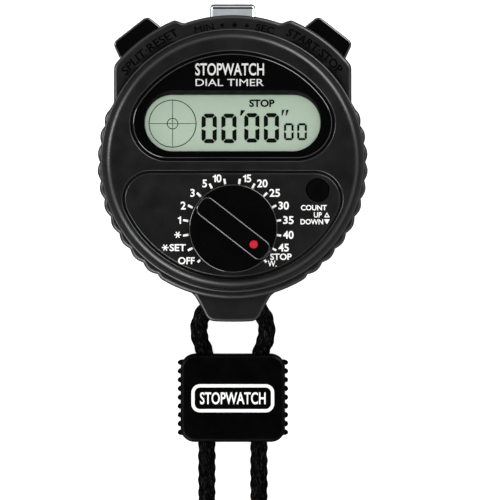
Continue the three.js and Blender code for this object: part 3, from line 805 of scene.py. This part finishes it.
def make_middle_shell():
    low, high = CASE_Z
    edge = [(0.9, low), (0.5, low + 0.1), (0.2, low + 0.4), (0.05, low + 0.9), (0, low + 1.5)]
    edge += [(0, high - 0.9), (0.06, high - 0.62), (0.25, high - 0.32), (0.55, high - 0.1), (0.9, high)]
    edge.append((1, high))
    mouth, ledge, foot = (circle(r, 0, CASE_Y, 96) for r in (CAVITY_R, LEDGE_R, SEAL_R))
    inside = [(mouth, high), (mouth, LEDGE_Z[1]), (ledge, LEDGE_Z[1]), (ledge, LEDGE_Z[0])]
    parts = [wall((case_outline(trim), z) for trim, z in edge)]
    parts += [fill([case_outline(1), mouth], high), fill([case_outline(0.9), foot], low)]
    parts.append(wall([*inside, (foot, LEDGE_Z[0]), (foot, low)]))
    shell = to_object("middle_shell", parts)
    lug_solid = to_object("lug", solid(lug_outline, edge_round(0.9, 2, 10.5)))
    boss = [(0, 2.4), (2.4, 2.4), (2.4, 8.6), (2.2, 8.8), (0, 8.8)]
    bosses = [lathe(boss, x, y, 32) for x, y in SCREW_PLACES]
    boolean(shell, "UNION", lug_solid, to_object("bosses", bosses))
    pocket = box(-7, 7, 34.2, 46, PUSH_Z - 3.8, PUSH_Z + 3.8)
    slot = box(-6.3, 6.3, 34.6, 46, PUSH_Z - 3.4, PUSH_Z + 3.4)
    bore = stepped_bore([(1.4, 29, 31.3), (2.2, 31.3, 32.4), (1.4, 32.4, 32.9), (2.9, 32.9, 35)])
    crown_bore = stepped_bore([(1.35, 29.9, 32), (2.1, 32, 33), (1.35, 33, 33.4), (2.7, 33.4, 35)])
    holes = [lathe([(0, 0), (1.15, 0), (1.15, 8), (0, 8)], x, y, 20) for x, y in SCREW_PLACES]
    arch = [(-x, y, z) for x, y, z in reversed(STRAND[1:10])] + STRAND[1:10]
    holes += pipe(smooth_line(arch, 0.8)[0], 2.8, 24)
    tools = [[*to_both_sides(pocket), *slot], [*to_both_sides(bore), *crown_bore], holes]
    boolean(shell, "DIFFERENCE", *[to_object("tool", tool) for tool in tools])
    # Painted lighter than the bezel's plastic, to offset the shade beside the bezel.
    dress(shell, "middle", "case", ["mid_case"])
    add("flange_lettering", plate(flange_lettering(), high - 0.05, high + 0.1), "letter")


make_middle_shell()

# ---- bezel

FACE_Z = 19.5
SKIN_Z = 16.9  # the underside of the face
BEZEL_FOOT = 14.9
SPIGOT_R = 29.6  # inside the ring that enters the middle shell
WINDOW = {"side": (16.3, 10), "side_r": 9.8, "top_y": -1.1, "top_r": 29.6}
PANEL = {"top": -1.8, "corner": 7.4, "outer": 30.3}
PANEL_FLOOR = 18.6
DIAL = (0.2, -16.6)
COUNT = (21.5, -6.9)
POSTS = [(27, -1.2), (-27, -1.2)]
PEGS = [(-9.2, -9.6), (-9.2, -21.8)]


def window_outline(trim=0.0):
    x, y = WINDOW["side"]
    r, top_r = WINDOW["side_r"] - trim, WINDOW["top_r"] - trim
    meets = math.degrees(math.atan2(y - WINDOW["top_y"], x))
    right = arc(x, y, r, -90, meets, 36)
    top = arc(0, WINDOW["top_y"], top_r, meets, 180 - meets, 60)[1:-1]
    return [*right, *top, *arc(-x, y, r, 180 - meets, 270, 36)]


def panel_outline(trim=0.0):
    """A D on its back, whose curved side runs along the case's edge."""
    corner, outer = PANEL["corner"], PANEL["outer"]
    y = PANEL["top"] - corner
    x = math.sqrt((outer - corner) ** 2 - (y - CASE_Y) ** 2)
    meets = math.degrees(math.atan2(y - CASE_Y, x))
    foot = arc(0, CASE_Y, outer - trim, -180 - meets, meets, 80)
    right = arc(x, y, corner - trim, meets, 90, 24)[1:]
    return [*foot, *right, *arc(-x, y, corner - trim, 90, 180 - meets, 24)[:-1]]


def make_bezel():
    shoulder = [(30.5, 19.5), (31, 19.42), (31.6, 19.12), (32.15, 18.5), (32.65, 17.6), (32.95, 16.5)]
    lip = [(32.99, 15.9), (33.03, 15.74), (33.12, 15.64), (33.25, 15.56), (33.38, 15.48), (33.46, 15.38)]
    side = [(30.3, FACE_Z), *spline(shoulder, 4), *lip, (33.5, 15.2), (33.5, 15), (33.42, BEZEL_FOOT)]
    spigot = [(30.3, BEZEL_FOOT), (30.3, 12.6), (30.2, 12.5), (SPIGOT_R, 12.5), (SPIGOT_R, SKIN_Z)]
    parts = [lathe([*side, *spigot], 0, CASE_Y, 180)]
    rim = [(-0.1, 0), (0, 0), (0.08, 0.03), (0.19, 0.11), (0.27, 0.22), (0.3, 0.35)]
    rim = [(trim, FACE_Z - drop) for trim, drop in rim]
    window = [*rim, (0.5, 18.75), (0.6, 18.6), (0.6, 17.9), (2.2, 17.9), (2.2, SKIN_Z)]
    parts.append(wall((window_outline(trim), z) for trim, z in window))
    parts.append(wall((panel_outline(trim), z) for trim, z in [*rim, (0.45, 18.8), (0.5, PANEL_FLOOR)]))
    parts.append(fill([circle(30.3, 0, CASE_Y, 180), window_outline(-0.1), panel_outline(-0.1)], FACE_Z))
    seal_seat, bore, boss = (circle(r, *DIAL, 48) for r in (3.6, 2.35, 4.8))
    count_hole = circle(3.3, *COUNT, 48)
    parts.append(fill([panel_outline(0.5), seal_seat, count_hole], PANEL_FLOOR))
    parts.append(wall([(seal_seat, PANEL_FLOOR), (seal_seat, 17.3), (bore, 17.3), (bore, 15), (boss, 15),
                       (boss, SKIN_Z)]))
    parts.append(wall([(count_hole, PANEL_FLOOR), (count_hole, SKIN_Z)]))
    under = [circle(SPIGOT_R, 0, CASE_Y, 180), window_outline(2.2), boss, count_hole]
    for x, y in POSTS:
        post, hole = circle(2.2, x, y, 32), circle(1.15, x, y, 32)
        parts.append(wall([(post, SKIN_Z), (post, 10.7), (hole, 10.7), (hole, 15.4)]))
        parts.append(cap(at_height(hole, 15.4)))
        under.append(post)
    for x, y in PEGS:
        peg = circle(1.1, x, y, 24)
        parts += [wall([(peg, SKIN_Z), (peg, 12.9)]), cap(at_height(peg, 12.9))]
        under.append(peg)
    parts.append(fill(under, SKIN_Z))
    add("bezel", parts, "shell", replaces=["front_bezel"])


make_bezel()

# ---- display

VIEW = {"x": 22.2, "low": 3, "high": 17.25}  # the opening in the printed mask
MASK_Z = (17, 17.9)
LENS_Z = (18.2, 19.4)
LENS_GAP = 0.9  # from the rim's outline to the window's
GLASS_Z = (15.2, 16.6)
MODULE_R = 29.2
INK_Z = (GLASS_Z[1] + 0.01, GLASS_Z[1] + 0.06)
GLASS = {"x": 22.9, "low": 0.9, "high": 20.3}
DIGIT = {"width": 3.84, "height": 7.45, "stroke": 1.05}
SMALL_DIGIT = {"width": 2.45, "height": 4.3, "stroke": 0.56}
MARK_Y = 12
CLOCK = {"place": (-15.2, 10), "outer": 6.05, "inner": 1.43, "line": 0.13}


def rounded_box(x0, x1, y0, y1, corner, steps=8):
    return rounded([(x0, y0), (x1, y0), (x1, y1), (x0, y1)], corner, steps)


def view_outline(spread=0.0, lift=0.0):
    """The stadium that the display is seen through, with its upper edge raised by lift."""
    low, high = VIEW["low"] - spread, VIEW["high"] + spread + lift
    x = VIEW["x"] + spread
    return rounded_box(-x, x, low, high, (high - low) * 0.499, 20)


def make_window():
    low, high = LENS_Z
    clear = [(0.33, low), (0.33, high)]
    lens = solid(lambda trim: window_outline(LENS_GAP + trim), clear)
    add("window", lens, "lens", replaces=["window_lens"])
    edge = [(0.32, high), (0.24, high - 0.02), (0.13, high - 0.09), (0.04, high - 0.2), (0, high - 0.35)]
    edge += [(0, low), (0.32, low)]
    rings = [at_height(window_outline(LENS_GAP + trim), z) for trim, z in edge]
    add("window_edge", [loft(rings, True)], "gloss")
    back = low
    low, high = MASK_Z
    outer, opening, mouth = window_outline(2.5), view_outline(), view_outline(0.15, 0.95)
    parts = [fill([outer, mouth], high), fill([outer, opening], low), wall([(outer, low), (outer, high)])]
    parts.append(wall([(opening, low), (opening, low + 0.2), (mouth, high)]))
    add("window_border", parts, "ink", replaces=["display_mask"])
    title = shifted(lettering("STOPWATCH", 2.9, 0.016, 17.4), -0.75, 22.2)
    second = shifted(lettering("DIAL TIMER", 1.75, 0.0, 17.2), -0.75, 19.45)
    add("window_print", plate([*title, *second], back - 0.04, back - 0.01), "white")
    backing = plate([window_outline(1.1), view_outline(0.2, 0.95)], back - 0.12, back - 0.05)
    add("window_backing", backing, "print_black")


def segment_digit(x, y, width, height, stroke):
    """A seven-segment 0 with mitred corners. (x, y) is its lower left corner."""
    unit = height / 7.3  # the gap and the break were drawn at a height of 7.3
    gap, break_half = 0.07 * unit, 0.13 * unit
    cut, middle = stroke * 0.42, height / 2
    upper = [(stroke + gap, height - stroke), (width - stroke - gap, height - stroke),
             (width - cut - gap, height - cut + gap), (width - 2 * cut, height), (2 * cut, height),
             (cut + gap, height - cut + gap)]
    left = [(0, middle + break_half), (stroke, middle + break_half + stroke * 0.45),
            (stroke, height - stroke - gap), (cut - gap, height - cut - gap), (0, height - 2 * cut)]
    shapes = []
    for flip_y in (False, True):
        for shape in (upper, left, [(width - a, b) for a, b in left]):
            shapes.append([(x + a, y + (height - b if flip_y else b)) for a, b in shape])
    return shapes


def slanted_mark(x, y, width, height):
    """A minute or second mark: a wedge that leans to the right."""
    return [(x, y), (x + 0.25 * width, y), (x + width, y + height), (x + 0.1 * width, y + height)]


def make_display():
    """The liquid crystal cell, cut to the module's round, with its digits, marks and crossed circle."""
    x, low, high = GLASS["x"], GLASS["low"], GLASS["high"]
    corner_x = math.sqrt(MODULE_R**2 - (high - CASE_Y) ** 2)
    corner_y = CASE_Y + math.sqrt(MODULE_R**2 - x**2)
    cut_corners = [(-x, low), (x, low), (x, corner_y), (corner_x, high), (-corner_x, high), (-x, corner_y)]
    outline = rounded(cut_corners, 0.4, 3)
    walls = [(0.1, GLASS_Z[0]), (0, GLASS_Z[0] + 0.1), (0, GLASS_Z[1] - 0.1), (0.1, GLASS_Z[1])]
    glass = solid(lambda trim: inset(outline, trim), walls)
    add("display_glass", glass, "display", replaces=["lcd_glass"])
    shapes = []
    for place in ((-7.85, 5.05), (-2.85, 5.05), (2.95, 5.2), (7.9, 5.2)):
        shapes += segment_digit(*place, **DIGIT)
    for place in ((13, 5.8), (16.35, 5.8)):
        shapes += segment_digit(*place, **SMALL_DIGIT)
    for x, width, height in ((1.9, 1.3, 1.4), (12.4, 0.75, 1.5), (13.45, 0.8, 1.5)):
        shapes.append(slanted_mark(x, MARK_Y, width, height))
    shapes += shifted(lettering("STOP", 1.7, 0.036, 6.4), 7.4, 14.3)
    outer, inner, line = CLOCK["outer"], CLOCK["inner"], CLOCK["line"]
    for r, thick in ((outer, 0.2), (inner, 0.17)):
        shapes += [circle(r, *CLOCK["place"], 96), circle(r - thick, *CLOCK["place"], 96)]
    parts = plate(shapes, *INK_Z)
    for turn in (0, 90):
        for start, end in ((0.2 - outer, -inner), (0.17 - inner, inner - 0.17), (inner, outer - 0.2)):
            place = polar((start + end) / 2, turn, *CLOCK["place"])
            parts += plate([bar(*place, end - start, line, turn)], INK_Z[0], INK_Z[1] - 0.01)
    add("display_segments", parts, "segment")


make_window()
make_display()

# ---- dial panel, knob and count button

PLATE_Z = (18.9, 19.3)
TICK = {"x": -0.12, "y": -16.42, "r": 11.85, "length": 1.35, "end_length": 0.8, "width": 0.55, "first": 225,
        "pitch": 18}
DIAL_LABELS = ["OFF", "*SET", "*", "1", "2", "3", "5", "10", "15", "20", "25", "30", "35", "40", "45"]
KNOB = {"r": 11.1, "low": 19.95, "top": 22.3, "width": 5.35, "half": 10.7, "bar_top": 24.5, "turn": -38}
DOT = {"x": 6.5, "r": 1.05}


def asterisk(x, height):
    """Six thin arms, half way up a line of that height."""
    r, half = 0.85, 0.13
    inner = 2 * half * math.cos(math.radians(30))  # where two arms' edges meet
    points = []
    for turn in range(0, 360, 60):
        points += turned([(inner, -half), (r, -half), (r, half)], turn, x, height / 2)
    return points


def dial_label(words, height):
    """Bold lettering, with a thin asterisk and a flagged 1 in place of the font's own."""
    if words == "*":
        return [asterisk(0, height)]
    if words == "*SET":
        return [asterisk(-2.3, height), *shifted(lettering("SET", height, 0.02, 4.1), 0.85, 0)]
    if not words.startswith("1"):
        return lettering(words, height, 0.02, 2.65 if words.isdigit() and len(words) > 1 else None)
    flagged = [(0.24, 0), (0.44, 0), (0.44, 1), (0.3, 1), (0.24, 0.88), (0, 0.8), (0, 0.65), (0.24, 0.67)]
    loops = [[((x - 0.22) * height, y * height) for x, y in flagged]]
    if len(words) > 1:
        gap = 0.1
        rest = lettering(words[1:], height, 0.02)
        shift = 0.22 * height + gap + half_width(rest)
        loops = shifted([*loops, *shifted(rest, shift, 0)], -(gap + shift) / 2, 0)
    return loops


def triangle(x, y, half, height):
    return [(x - half, y), (x + half, y), (x, y + height)]


def dial_print():
    """The scale round the knob, and what the count button chooses."""
    loops = []
    for i, words in enumerate([*DIAL_LABELS, ""]):
        turn = TICK["first"] - TICK["pitch"] * i
        across, up = polar(1, turn)
        x, y = polar(TICK["r"], turn, TICK["x"], TICK["y"])
        ends = i in (0, len(DIAL_LABELS))
        loops.append(bar(x, y, TICK["end_length"] if ends else TICK["length"], TICK["width"], turn))
        if words:
            height = 1.65 if len(words) > 2 else 1.86
            label = dial_label(words, height)
            away = 0.75 + half_width(label) + 0.42 * abs(across)
            rise = 0.1 + 0.7 * max(0, up) ** 2 + 0.3 * (words in ("*SET", "45"))
            loops += shifted(label, x + math.copysign(away, across), y - height / 2 + rise)
    loops += shifted(lettering("STOP", 1.5, 0.02, 5.4), 12.2, -24.45)
    loops += shifted(lettering("W.", 1.5, 0.01, 2.2), 10, -26.15)
    for words, width, x, y in (("COUNT", 6.5, 20.5, -11.95), ("UP", 2.0, 21.5, -13.75),
                               ("DOWN", 5.7, 20, -15.5)):
        loops += shifted(lettering(words, 1.25, 0.018, width), x, y)
    loops += [triangle(23.8, -13.75, 0.72, 1.25), triangle(23.8, -13.53, 0.36, 0.64)]
    loops.append(triangle(23.8, -14.25, 0.72, -1.25))
    return plate(loops, PLATE_Z[1] + 0.01, PLATE_Z[1] + 0.05)


def make_dial_panel():
    low, high = PLATE_Z
    edge = [(0.8, low), (0.8, high - 0.3), (0.84, high - 0.18), (0.93, high - 0.07), (1.07, high)]
    edge.append((1.17, high))
    shaft_hole = circle(3.2, *DIAL, 48)
    button_hole, button_mouth = circle(3.02, *COUNT, 64), circle(3.15, *COUNT, 64)
    parts = [wall((panel_outline(trim), z) for trim, z in edge)]
    parts.append(fill([panel_outline(1.17), shaft_hole, button_mouth], high))
    parts.append(fill([panel_outline(0.8), shaft_hole, button_hole], low))
    parts.append(wall([(shaft_hole, low), (shaft_hole, high - 0.2), (shaft_hole, high)]))
    parts.append(wall([(button_hole, low), (button_hole, high - 0.2), (button_mouth, high)]))
    add("dial_panel", parts, "shell", replaces=["dial_plate"])
    add("dial_scale", dial_print(), "white")


def make_knob():
    """A round knob with a grip bar across it and a red dot at the bar's pointing end."""
    r, low, top, bar_top = KNOB["r"], KNOB["low"], KNOB["top"], KNOB["bar_top"]
    half, side = KNOB["half"], KNOB["width"] / 2
    bar_edge = rounded_box(-half, half, -side, side, 2, 12)
    hole = circle(DOT["r"] + 0.3, DOT["x"], 0, 48)
    side = [(2.3, low), (r - 0.15, low), (r, low + 0.15), (r, top - 0.26), (r - 0.04, top - 0.12)]
    side += [(r - 0.12, top - 0.04), (r - 0.25, top), (r - 0.35, top)]
    parts = [lathe(side, segments=160), fill([circle(r - 0.35, segments=160), bar_edge], top)]
    edge = [(0, top), (0, bar_top - 0.5), (0.04, bar_top - 0.28), (0.13, bar_top - 0.12)]
    edge += [(0.28, bar_top - 0.03), (0.5, bar_top), (0.6, bar_top)]
    parts.append(wall((inset(bar_edge, trim), z) for trim, z in edge))
    parts.append(fill([inset(bar_edge, 0.6), hole], bar_top))
    parts += [wall([(hole, bar_top), (hole, 23.7)]), cap(at_height(hole, 23.7))]
    socket = circle(2.3, segments=160)
    parts += [wall([(socket, low), (socket, 21.2)]), cap(at_height(socket, 21.2))]
    add("knob", moved(parts, KNOB["turn"], *DIAL), "gloss", "dial", ["dial_knob"])
    r = DOT["r"]
    dome = [(0, 24), (r, 24), (r, 24.3), (r - 0.12, 24.4), (0.6, 24.44), (0, 24.45)]
    dot = moved([lathe(dome, DOT["x"], 0, 48)], KNOB["turn"], *DIAL)
    add("pointer_dot", dot, "red", "dial", ["dial_dot"])


def make_count_button():
    """A stem, a flange under the bezel, and a head with a slightly hollow top."""
    profile = [(0, 11.95), (1.2, 11.95), (1.2, 15.7), (4.1, 15.7), (4.1, 16.4), (2.85, 16.4), (2.85, 18.88)]
    profile += [(2.81, 19), (2.72, 19.08), (2.57, 19.1), (2.3, 19.05), (1.6, 18.97), (0.8, 18.92), (0, 18.9)]
    add("count_push", [lathe(profile, *COUNT, 64)], "gloss", "count_button", ["count_button"])


make_dial_panel()
make_knob()
make_count_button()

# ---- side buttons and crown

BUTTON = {"half": 6.5, "foot": 35.9, "bend": 38.7, "top_half": 5.6, "top": 42.6, "half_z": 3.4}
CROWN = {"x": 5.75, "inner": 36.4, "outer": 40.8, "half_z": 3, "pin_y": 37.6}


def make_side_button(name, side):
    half, bend = BUTTON["half"], BUTTON["bend"]
    right = [(half, BUTTON["foot"]), (half, bend), (BUTTON["top_half"], BUTTON["top"])]
    left = [(-x, y) for x, y in reversed(right)]
    outline = rounded([*right, *left], [0.5, 2.5, 1.6, 1.6, 2.5, 0.5], 8)
    walls = edge_round(0.6, PUSH_Z - BUTTON["half_z"], PUSH_Z + BUTTON["half_z"], 6)
    cap_piece = to_object(name + "_cap", to_side(solid(lambda trim: inset(outline, trim), walls), side))
    socket = laid_outward([lathe([(0, 35), (1.4, 35), (1.4, 38), (0, 38)], segments=24)], PUSH_Z)
    boolean(cap_piece, "DIFFERENCE", to_object("socket", to_side(socket, side)))
    dress(cap_piece, "gloss", name + "_button", [name + "_button"])


def make_crown():
    """The chromed cap: each face slopes to the outside, and ends in a narrow level ledge."""
    low, high = PUSH_Z - CROWN["half_z"], PUSH_Z + CROWN["half_z"]
    inner, outer = CROWN["inner"], CROWN["outer"]
    upper = [(outer, high - 1.7), (outer - 0.7, high - 0.95), (outer - 1.25, high - 0.95), (inner, high)]
    lower = [(y, high + low - z) for y, z in reversed(upper)]
    section = rounded([*lower, *upper], [0.4, 0.12, 0.4, 0.8, 0.8, 0.4, 0.12, 0.4], 8)
    middle, half_y = (inner + outer) / 2, (outer - inner) / 2
    rings = []
    for trim, x in edge_round(0.9, -CROWN["x"], CROWN["x"], 7):
        slim, flat = 1 - trim / half_y, 1 - trim / CROWN["half_z"]
        rings.append([(x, middle + (y - middle) * slim, PUSH_Z + (z - PUSH_Z) * flat) for y, z in section])
    cap_piece = to_object("crown_shell", [loft(rings), cap(rings[0]), cap(rings[-1])], 40)
    slot = box(-1.75, 1.75, 35, 39, PUSH_Z - 1.75, PUSH_Z + 1.75)
    hole = [(0, low - 1), (0.95, low - 1), (0.95, high - 0.9), (0, high - 0.9)]
    pin_hole = to_object("pin_hole", [lathe(hole, 0, CROWN["pin_y"], 24)])
    boolean(cap_piece, "DIFFERENCE", to_object("slot", slot), pin_hole)
    pin = [(0, low + 0.7), (0.6, low + 0.7), (0.7, low + 0.8), (0.7, high - 1.3), (0.6, high - 1.2)]
    pin.append((0, high - 1.2))
    add("rocker_pin", [lathe(pin, 0, CROWN["pin_y"], 24)], "steel", "crown_plunger", ["crown_pin"])
    dress(cap_piece, "chrome", "crown_cap", ["crown_cap"])


make_side_button("start", 1)
make_side_button("split", -1)
make_crown()

# ---- return springs

WIRE_R = 0.2
SIDE_SPRING = {"r": 2.1, "low": 33.1, "high": 35.7, "turns": 4, "keep": 0.42}
CROWN_SPRING = {"r": 1.9, "low": 33.6, "high": 35.5, "turns": 3, "keep": 0.36}
COUNT_SPRING = {"r": 2.2, "low": 10.9, "high": 15.4, "turns": 5, "keep": 0.82}


def winding(spring):
    """Round spring wire, wound about Z."""
    r, turns = spring["r"], spring["turns"]
    angle = np.linspace(0, TURN * turns, turns * 16 + 1)
    rise = np.linspace(spring["low"] + WIRE_R, spring["high"] - WIRE_R, len(angle))
    return pipe(np.stack([r * np.cos(angle), r * np.sin(angle), rise], 1), WIRE_R, 8)


def add_spring(name, parts):
    """A spring's wire in steel, in place of its CAD node, with a mesh of its own."""
    node = name + "_spring"
    piece = add(node + "_wire", parts, "steel", replaces=[node])
    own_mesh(piece)


def make_springs():
    for name, side in (("start", 1), ("split", -1)):
        parts = to_side(laid_outward(winding(SIDE_SPRING), PUSH_Z), side)
        add_spring(name, parts)
    parts = laid_outward(winding(CROWN_SPRING), PUSH_Z)
    add_spring("crown", parts)
    parts = moved(winding(COUNT_SPRING), 0, *COUNT)
    add_spring("count", parts)


make_springs()

# ---- slider

SLIDER = {"x": 13.4, "high": -48.7, "low": -71.2, "z": 8, "split": 4, "strand_x": 6.7, "corner": 3.6}
SLIDER_Y = (SLIDER["high"] + SLIDER["low"]) / 2
RIBS = {"count": 9, "pitch": 2.26, "reach": 0.85, "half": 0.7}


def slider_outline(trim=0.0):
    x = SLIDER["x"] - trim
    return rounded_box(-x, x, SLIDER["low"] + trim, SLIDER["high"] - trim, SLIDER["corner"] - trim, 12)


def ribbed_outline(trim=0.0):
    """The slider's outline with small round-nosed ribs down its sides."""
    corner = SLIDER["corner"] - trim
    corner_y = SLIDER["high"] - SLIDER["corner"] - SLIDER_Y
    half = RIBS["half"] - 0.6 * trim
    last = (RIBS["count"] - 1) / 2 * RIBS["pitch"]
    meet = math.degrees(math.asin((last + half - corner_y) / corner))

    def side_x(rise):
        return SLIDER["x"] - SLIDER["corner"] + math.sqrt(corner**2 - max(0, abs(rise) - corner_y) ** 2)

    right = arc(SLIDER["x"] - SLIDER["corner"], -corner_y, corner, -90, -meet, 10)[:-1]
    for rib in np.linspace(-last, last, RIBS["count"]):
        for turn in np.linspace(-90, 90, 11):
            rise = rib + half * math.sin(math.radians(turn))
            base = side_x(rise)
            reach = SLIDER["x"] - trim + RIBS["reach"] - base
            right.append((base + reach * math.cos(math.radians(turn)), rise))
    right += arc(SLIDER["x"] - SLIDER["corner"], corner_y, corner, meet, 90, 10)[1:]
    return [(x, SLIDER_Y + y) for x, y in [*right, *[(-x, y) for x, y in reversed(right)]]]


def slider_channels():
    """Cutters for the two channels that the strands run in, flared at both ends."""
    high, length = SLIDER["high"], SLIDER["high"] - SLIDER["low"]
    flare = [(3.3, -0.1), (3, 0.9), (2.75, 2.2), (2.65, 3.6)]
    far_flare = [(2.65, length - 2.2), (2.8, length - 1), (3.1, length + 0.1)]
    profile = [(0, -0.1), *flare, *far_flare, (0, length + 0.1)]
    parts = []
    for side in (1, -1):
        verts, faces = lathe(profile, side * SLIDER["strand_x"], 0, 32)
        parts.append(([(x, high - z, SLIDER["split"] + y) for x, y, z in verts], faces))
    return to_object("channels", parts)


def make_badge():
    """A round-cornered frame with a plain word in it."""
    x, y, line, corner = 10.6, 3.6, 0.83, 2.2
    frame_edge = rounded_box(-x, x, -y, y, corner, 10)
    inner_edge = rounded_box(line - x, x - line, line - y, y - line, corner - line, 10)
    badge = [frame_edge, inner_edge, *shifted(lettering("STOPWATCH", 2.9, 0.016, 16.8), 0, -1.45)]
    high = SLIDER["z"]
    parts = plate(shifted(badge, 0, SLIDER_Y), high + 0.005, high + 0.04)
    add("slider_print", parts, "white", "slider")


def make_slider():
    split, high = SLIDER["split"], SLIDER["z"]
    side = [(0.15, split + 0.15), (0, split + 0.3), (0, high - 1.1), (0.08, high - 0.7), (0.3, high - 0.35)]
    front = to_object("slider_front_shell", solid(slider_outline, [*side, (0.65, high - 0.1), (1.1, high)]))
    boolean(front, "DIFFERENCE", slider_channels())
    dress(front, "slider", "slider", ["slider_front"])
    side = [(0.35, 0.6), (0, 0.9), (0, split - 0.5), (0.3, split - 0.15)]
    back = to_object("slider_back_shell", solid(ribbed_outline, side))
    foot = to_object("foot", solid(slider_outline, [(0.9, 0), (0.5, 0.12), (0.35, 0.4), (0.35, 1)]))
    boolean(back, "UNION", foot)
    boolean(back, "DIFFERENCE", slider_channels())
    dress(back, "slider", "slider", ["slider_back"])
    make_badge()


make_slider()

# ---- back

SCREW_HEAD_R = 1.9
SHANK_R = 0.85


def make_rear_cover():
    """A disc with a fine groove round its face, a gasket's groove, a ridge inside and four sinks."""
    face = [(0, 0), (24.4, 0), (24.5, 0.15), (24.8, 0.15), (24.9, 0), (31.05, 0), (31.3, 0.05), (31.5, 0.2)]
    rim = [(31.58, 0.4), (31.6, 0.6), (31.6, 2), (31.2, 2)]
    inside = [(31.2, 1.2), (29.6, 1.2), (29.6, 2), (27.9, 2), (27.9, 3.2), (26.9, 3.2), (26.9, 2), (0, 2)]
    cover = to_object("back_cover", [lathe([*face, *rim, *inside], 0, CASE_Y, 160)])
    sink = [(0, -1), (2.35, -1), (2.35, 0), (2.2, 0.15), (2.2, 1.7), (1.2, 1.7), (1.2, 2), (2.7, 2), (2.7, 4)]
    sinks = [lathe([*sink, (0, 4)], x, y, 40) for x, y in SCREW_PLACES]
    boolean(cover, "DIFFERENCE", to_object("sinks", sinks))
    dress(cover, "shell", "case", ["rear_cover"])


def make_rear_screw(number, x, y):
    """A pan head with a cross recess, and a threaded shank."""
    arm, half, face, recess = 1.1, 0.22, 0.3, 0.85
    cross = []
    for turn in (0, 90, 180, 270):
        cross += turned([(arm, -half), (arm, half), (half, half)], turn)
    head = [(1.45, face), (1.7, 0.38), (1.85, 0.55), (SCREW_HEAD_R, 0.8), (SCREW_HEAD_R, 1.4), (SHANK_R, 1.4)]
    thread = [(SHANK_R, 1.6)]
    for z in np.arange(13) * 0.4 + 1.7:
        thread += [(0.72, z), (SHANK_R, z + 0.12), (SHANK_R, z + 0.18), (0.72, z + 0.3)]
    tip = [(0.7, 7.1), (0.2, 7.5)]
    parts = [lathe([*head, *thread, *tip], segments=48), cap(at_height(circle(0.2, segments=48), 7.5))]
    parts += [fill([circle(1.45, segments=48), cross], face), wall([(cross, face), (cross, recess)])]
    parts.append(fill([cross], recess))
    screw = moved(parts, 17 * number, x, y)
    add(f"cover_screw_{number}", screw, "steel", replaces=[f"rear_screw_{number}"])


make_rear_cover()
for number, (screw_x, screw_y) in enumerate(SCREW_PLACES, 1):
    make_rear_screw(number, screw_x, screw_y)

# ---- CAD nodes that stay

SLOT_MATERIALS = {"gloss_black": "gloss", "lcd": "display", "reflector": "foil"}

for part in frame["record"]["subparts"]:
    node = frame["nodes"][part["node"]]
    slot = part["material_slot"]
    node.data.materials.clear()
    node.data.materials.append(MATERIALS[SLOT_MATERIALS.get(slot, slot)])

# ---- floor and light

WORLD_STRENGTH = 0.9
WORLD_LEVELS = [(0, 0.15), (0.03, 1.5), (0.5, 1.5), (0.7, 0.9), (0.84, 0.36), (0.93, 0.04), (1, 0.02)]
LIGHT_DISTANCE = 0.9
FLOOR_HALF = 3
FLOOR_DROP = 0.00002  # so that it doesn't share a plane with the watch's back


def make_world():
    """White as a backdrop. Mirrored, it is dark overhead and bright lower down, so flat gloss is black."""
    world = bpy.data.worlds.new("studio")
    bpy.context.scene.world = world
    world.use_nodes = True
    tree = world.node_tree
    background = tree.nodes["Background"]
    place = tree.nodes.new("ShaderNodeTexCoord")
    split = tree.nodes.new("ShaderNodeSeparateXYZ")
    ramp = tree.nodes.new("ShaderNodeValToRGB")
    tree.links.new(place.outputs["Generated"], split.inputs[0])
    tree.links.new(split.outputs["Z"], ramp.inputs[0])
    stops = ramp.color_ramp.elements
    while len(stops) < len(WORLD_LEVELS):
        stops.new(0.5)
    for stop, (height, level) in zip(stops, WORLD_LEVELS):
        stop.position = height
        stop.color = (level, level, level * 1.01, 1)
    seen = tree.nodes.new("ShaderNodeMix")
    seen.data_type = "RGBA"
    seen.inputs[MIX_B].default_value = (1, 1, 1, 1)
    tree.links.new(tree.nodes.new("ShaderNodeLightPath").outputs["Is Camera Ray"], seen.inputs[MIX_FACTOR])
    tree.links.new(ramp.outputs[0], seen.inputs[MIX_A])
    tree.links.new(seen.outputs[MIX_RESULT], background.inputs["Color"])
    background.inputs["Strength"].default_value = WORLD_STRENGTH


def make_area_light(name, azimuth, elevation, width, height, power, overhead=False):
    """A soft box that faces the watch. The one overhead lights it, and the others only show in its gloss."""
    level, up = polar(1, elevation)
    away = Vector((*polar(level, azimuth), up))
    data = bpy.data.lights.new(name, "AREA")
    data.shape, data.size, data.size_y, data.energy = "RECTANGLE", width, height, power
    lamp = bpy.data.objects.new(name, data)
    lamp.location = away * LIGHT_DISTANCE
    lamp.rotation_euler = away.to_track_quat("Z", "Y").to_euler()
    lamp.visible_diffuse = overhead
    lamp.visible_glossy = not overhead
    bpy.context.scene.collection.objects.link(lamp)


def make_floor():
    n = Nodes("pale_floor", 0.9)
    n.paint("Base Color", n.blend(n.noise(60), (0.86, 0.86, 0.86), (0.9, 0.9, 0.9)))
    floor = link("floor", bpy.data.meshes.new("floor"))
    half = FLOOR_HALF
    corners = [(-half, -half, 0), (half, -half, 0), (half, half, 0), (-half, half, 0)]
    floor.data.from_pydata(corners, [], [(0, 1, 2, 3)])
    floor.location.z = -FLOOR_DROP
    floor.data.materials.append(n.material)
    n.shader.inputs["Emission Color"].default_value = (1, 1, 1, 1)
    n.shader.inputs["Emission Strength"].default_value = 0.6
    floor.visible_glossy = False


make_world()
make_area_light("top", 0, 90, 0.8, 0.8, 6.5, overhead=True)
make_area_light("key", 50, 32, 0.7, 0.4, 8)
make_area_light("fill", -128, 32, 0.7, 0.4, 9)
make_area_light("edge", 165, 32, 0.3, 0.3, 4)
make_floor()
bpy.context.scene.view_settings.view_transform = "Standard"
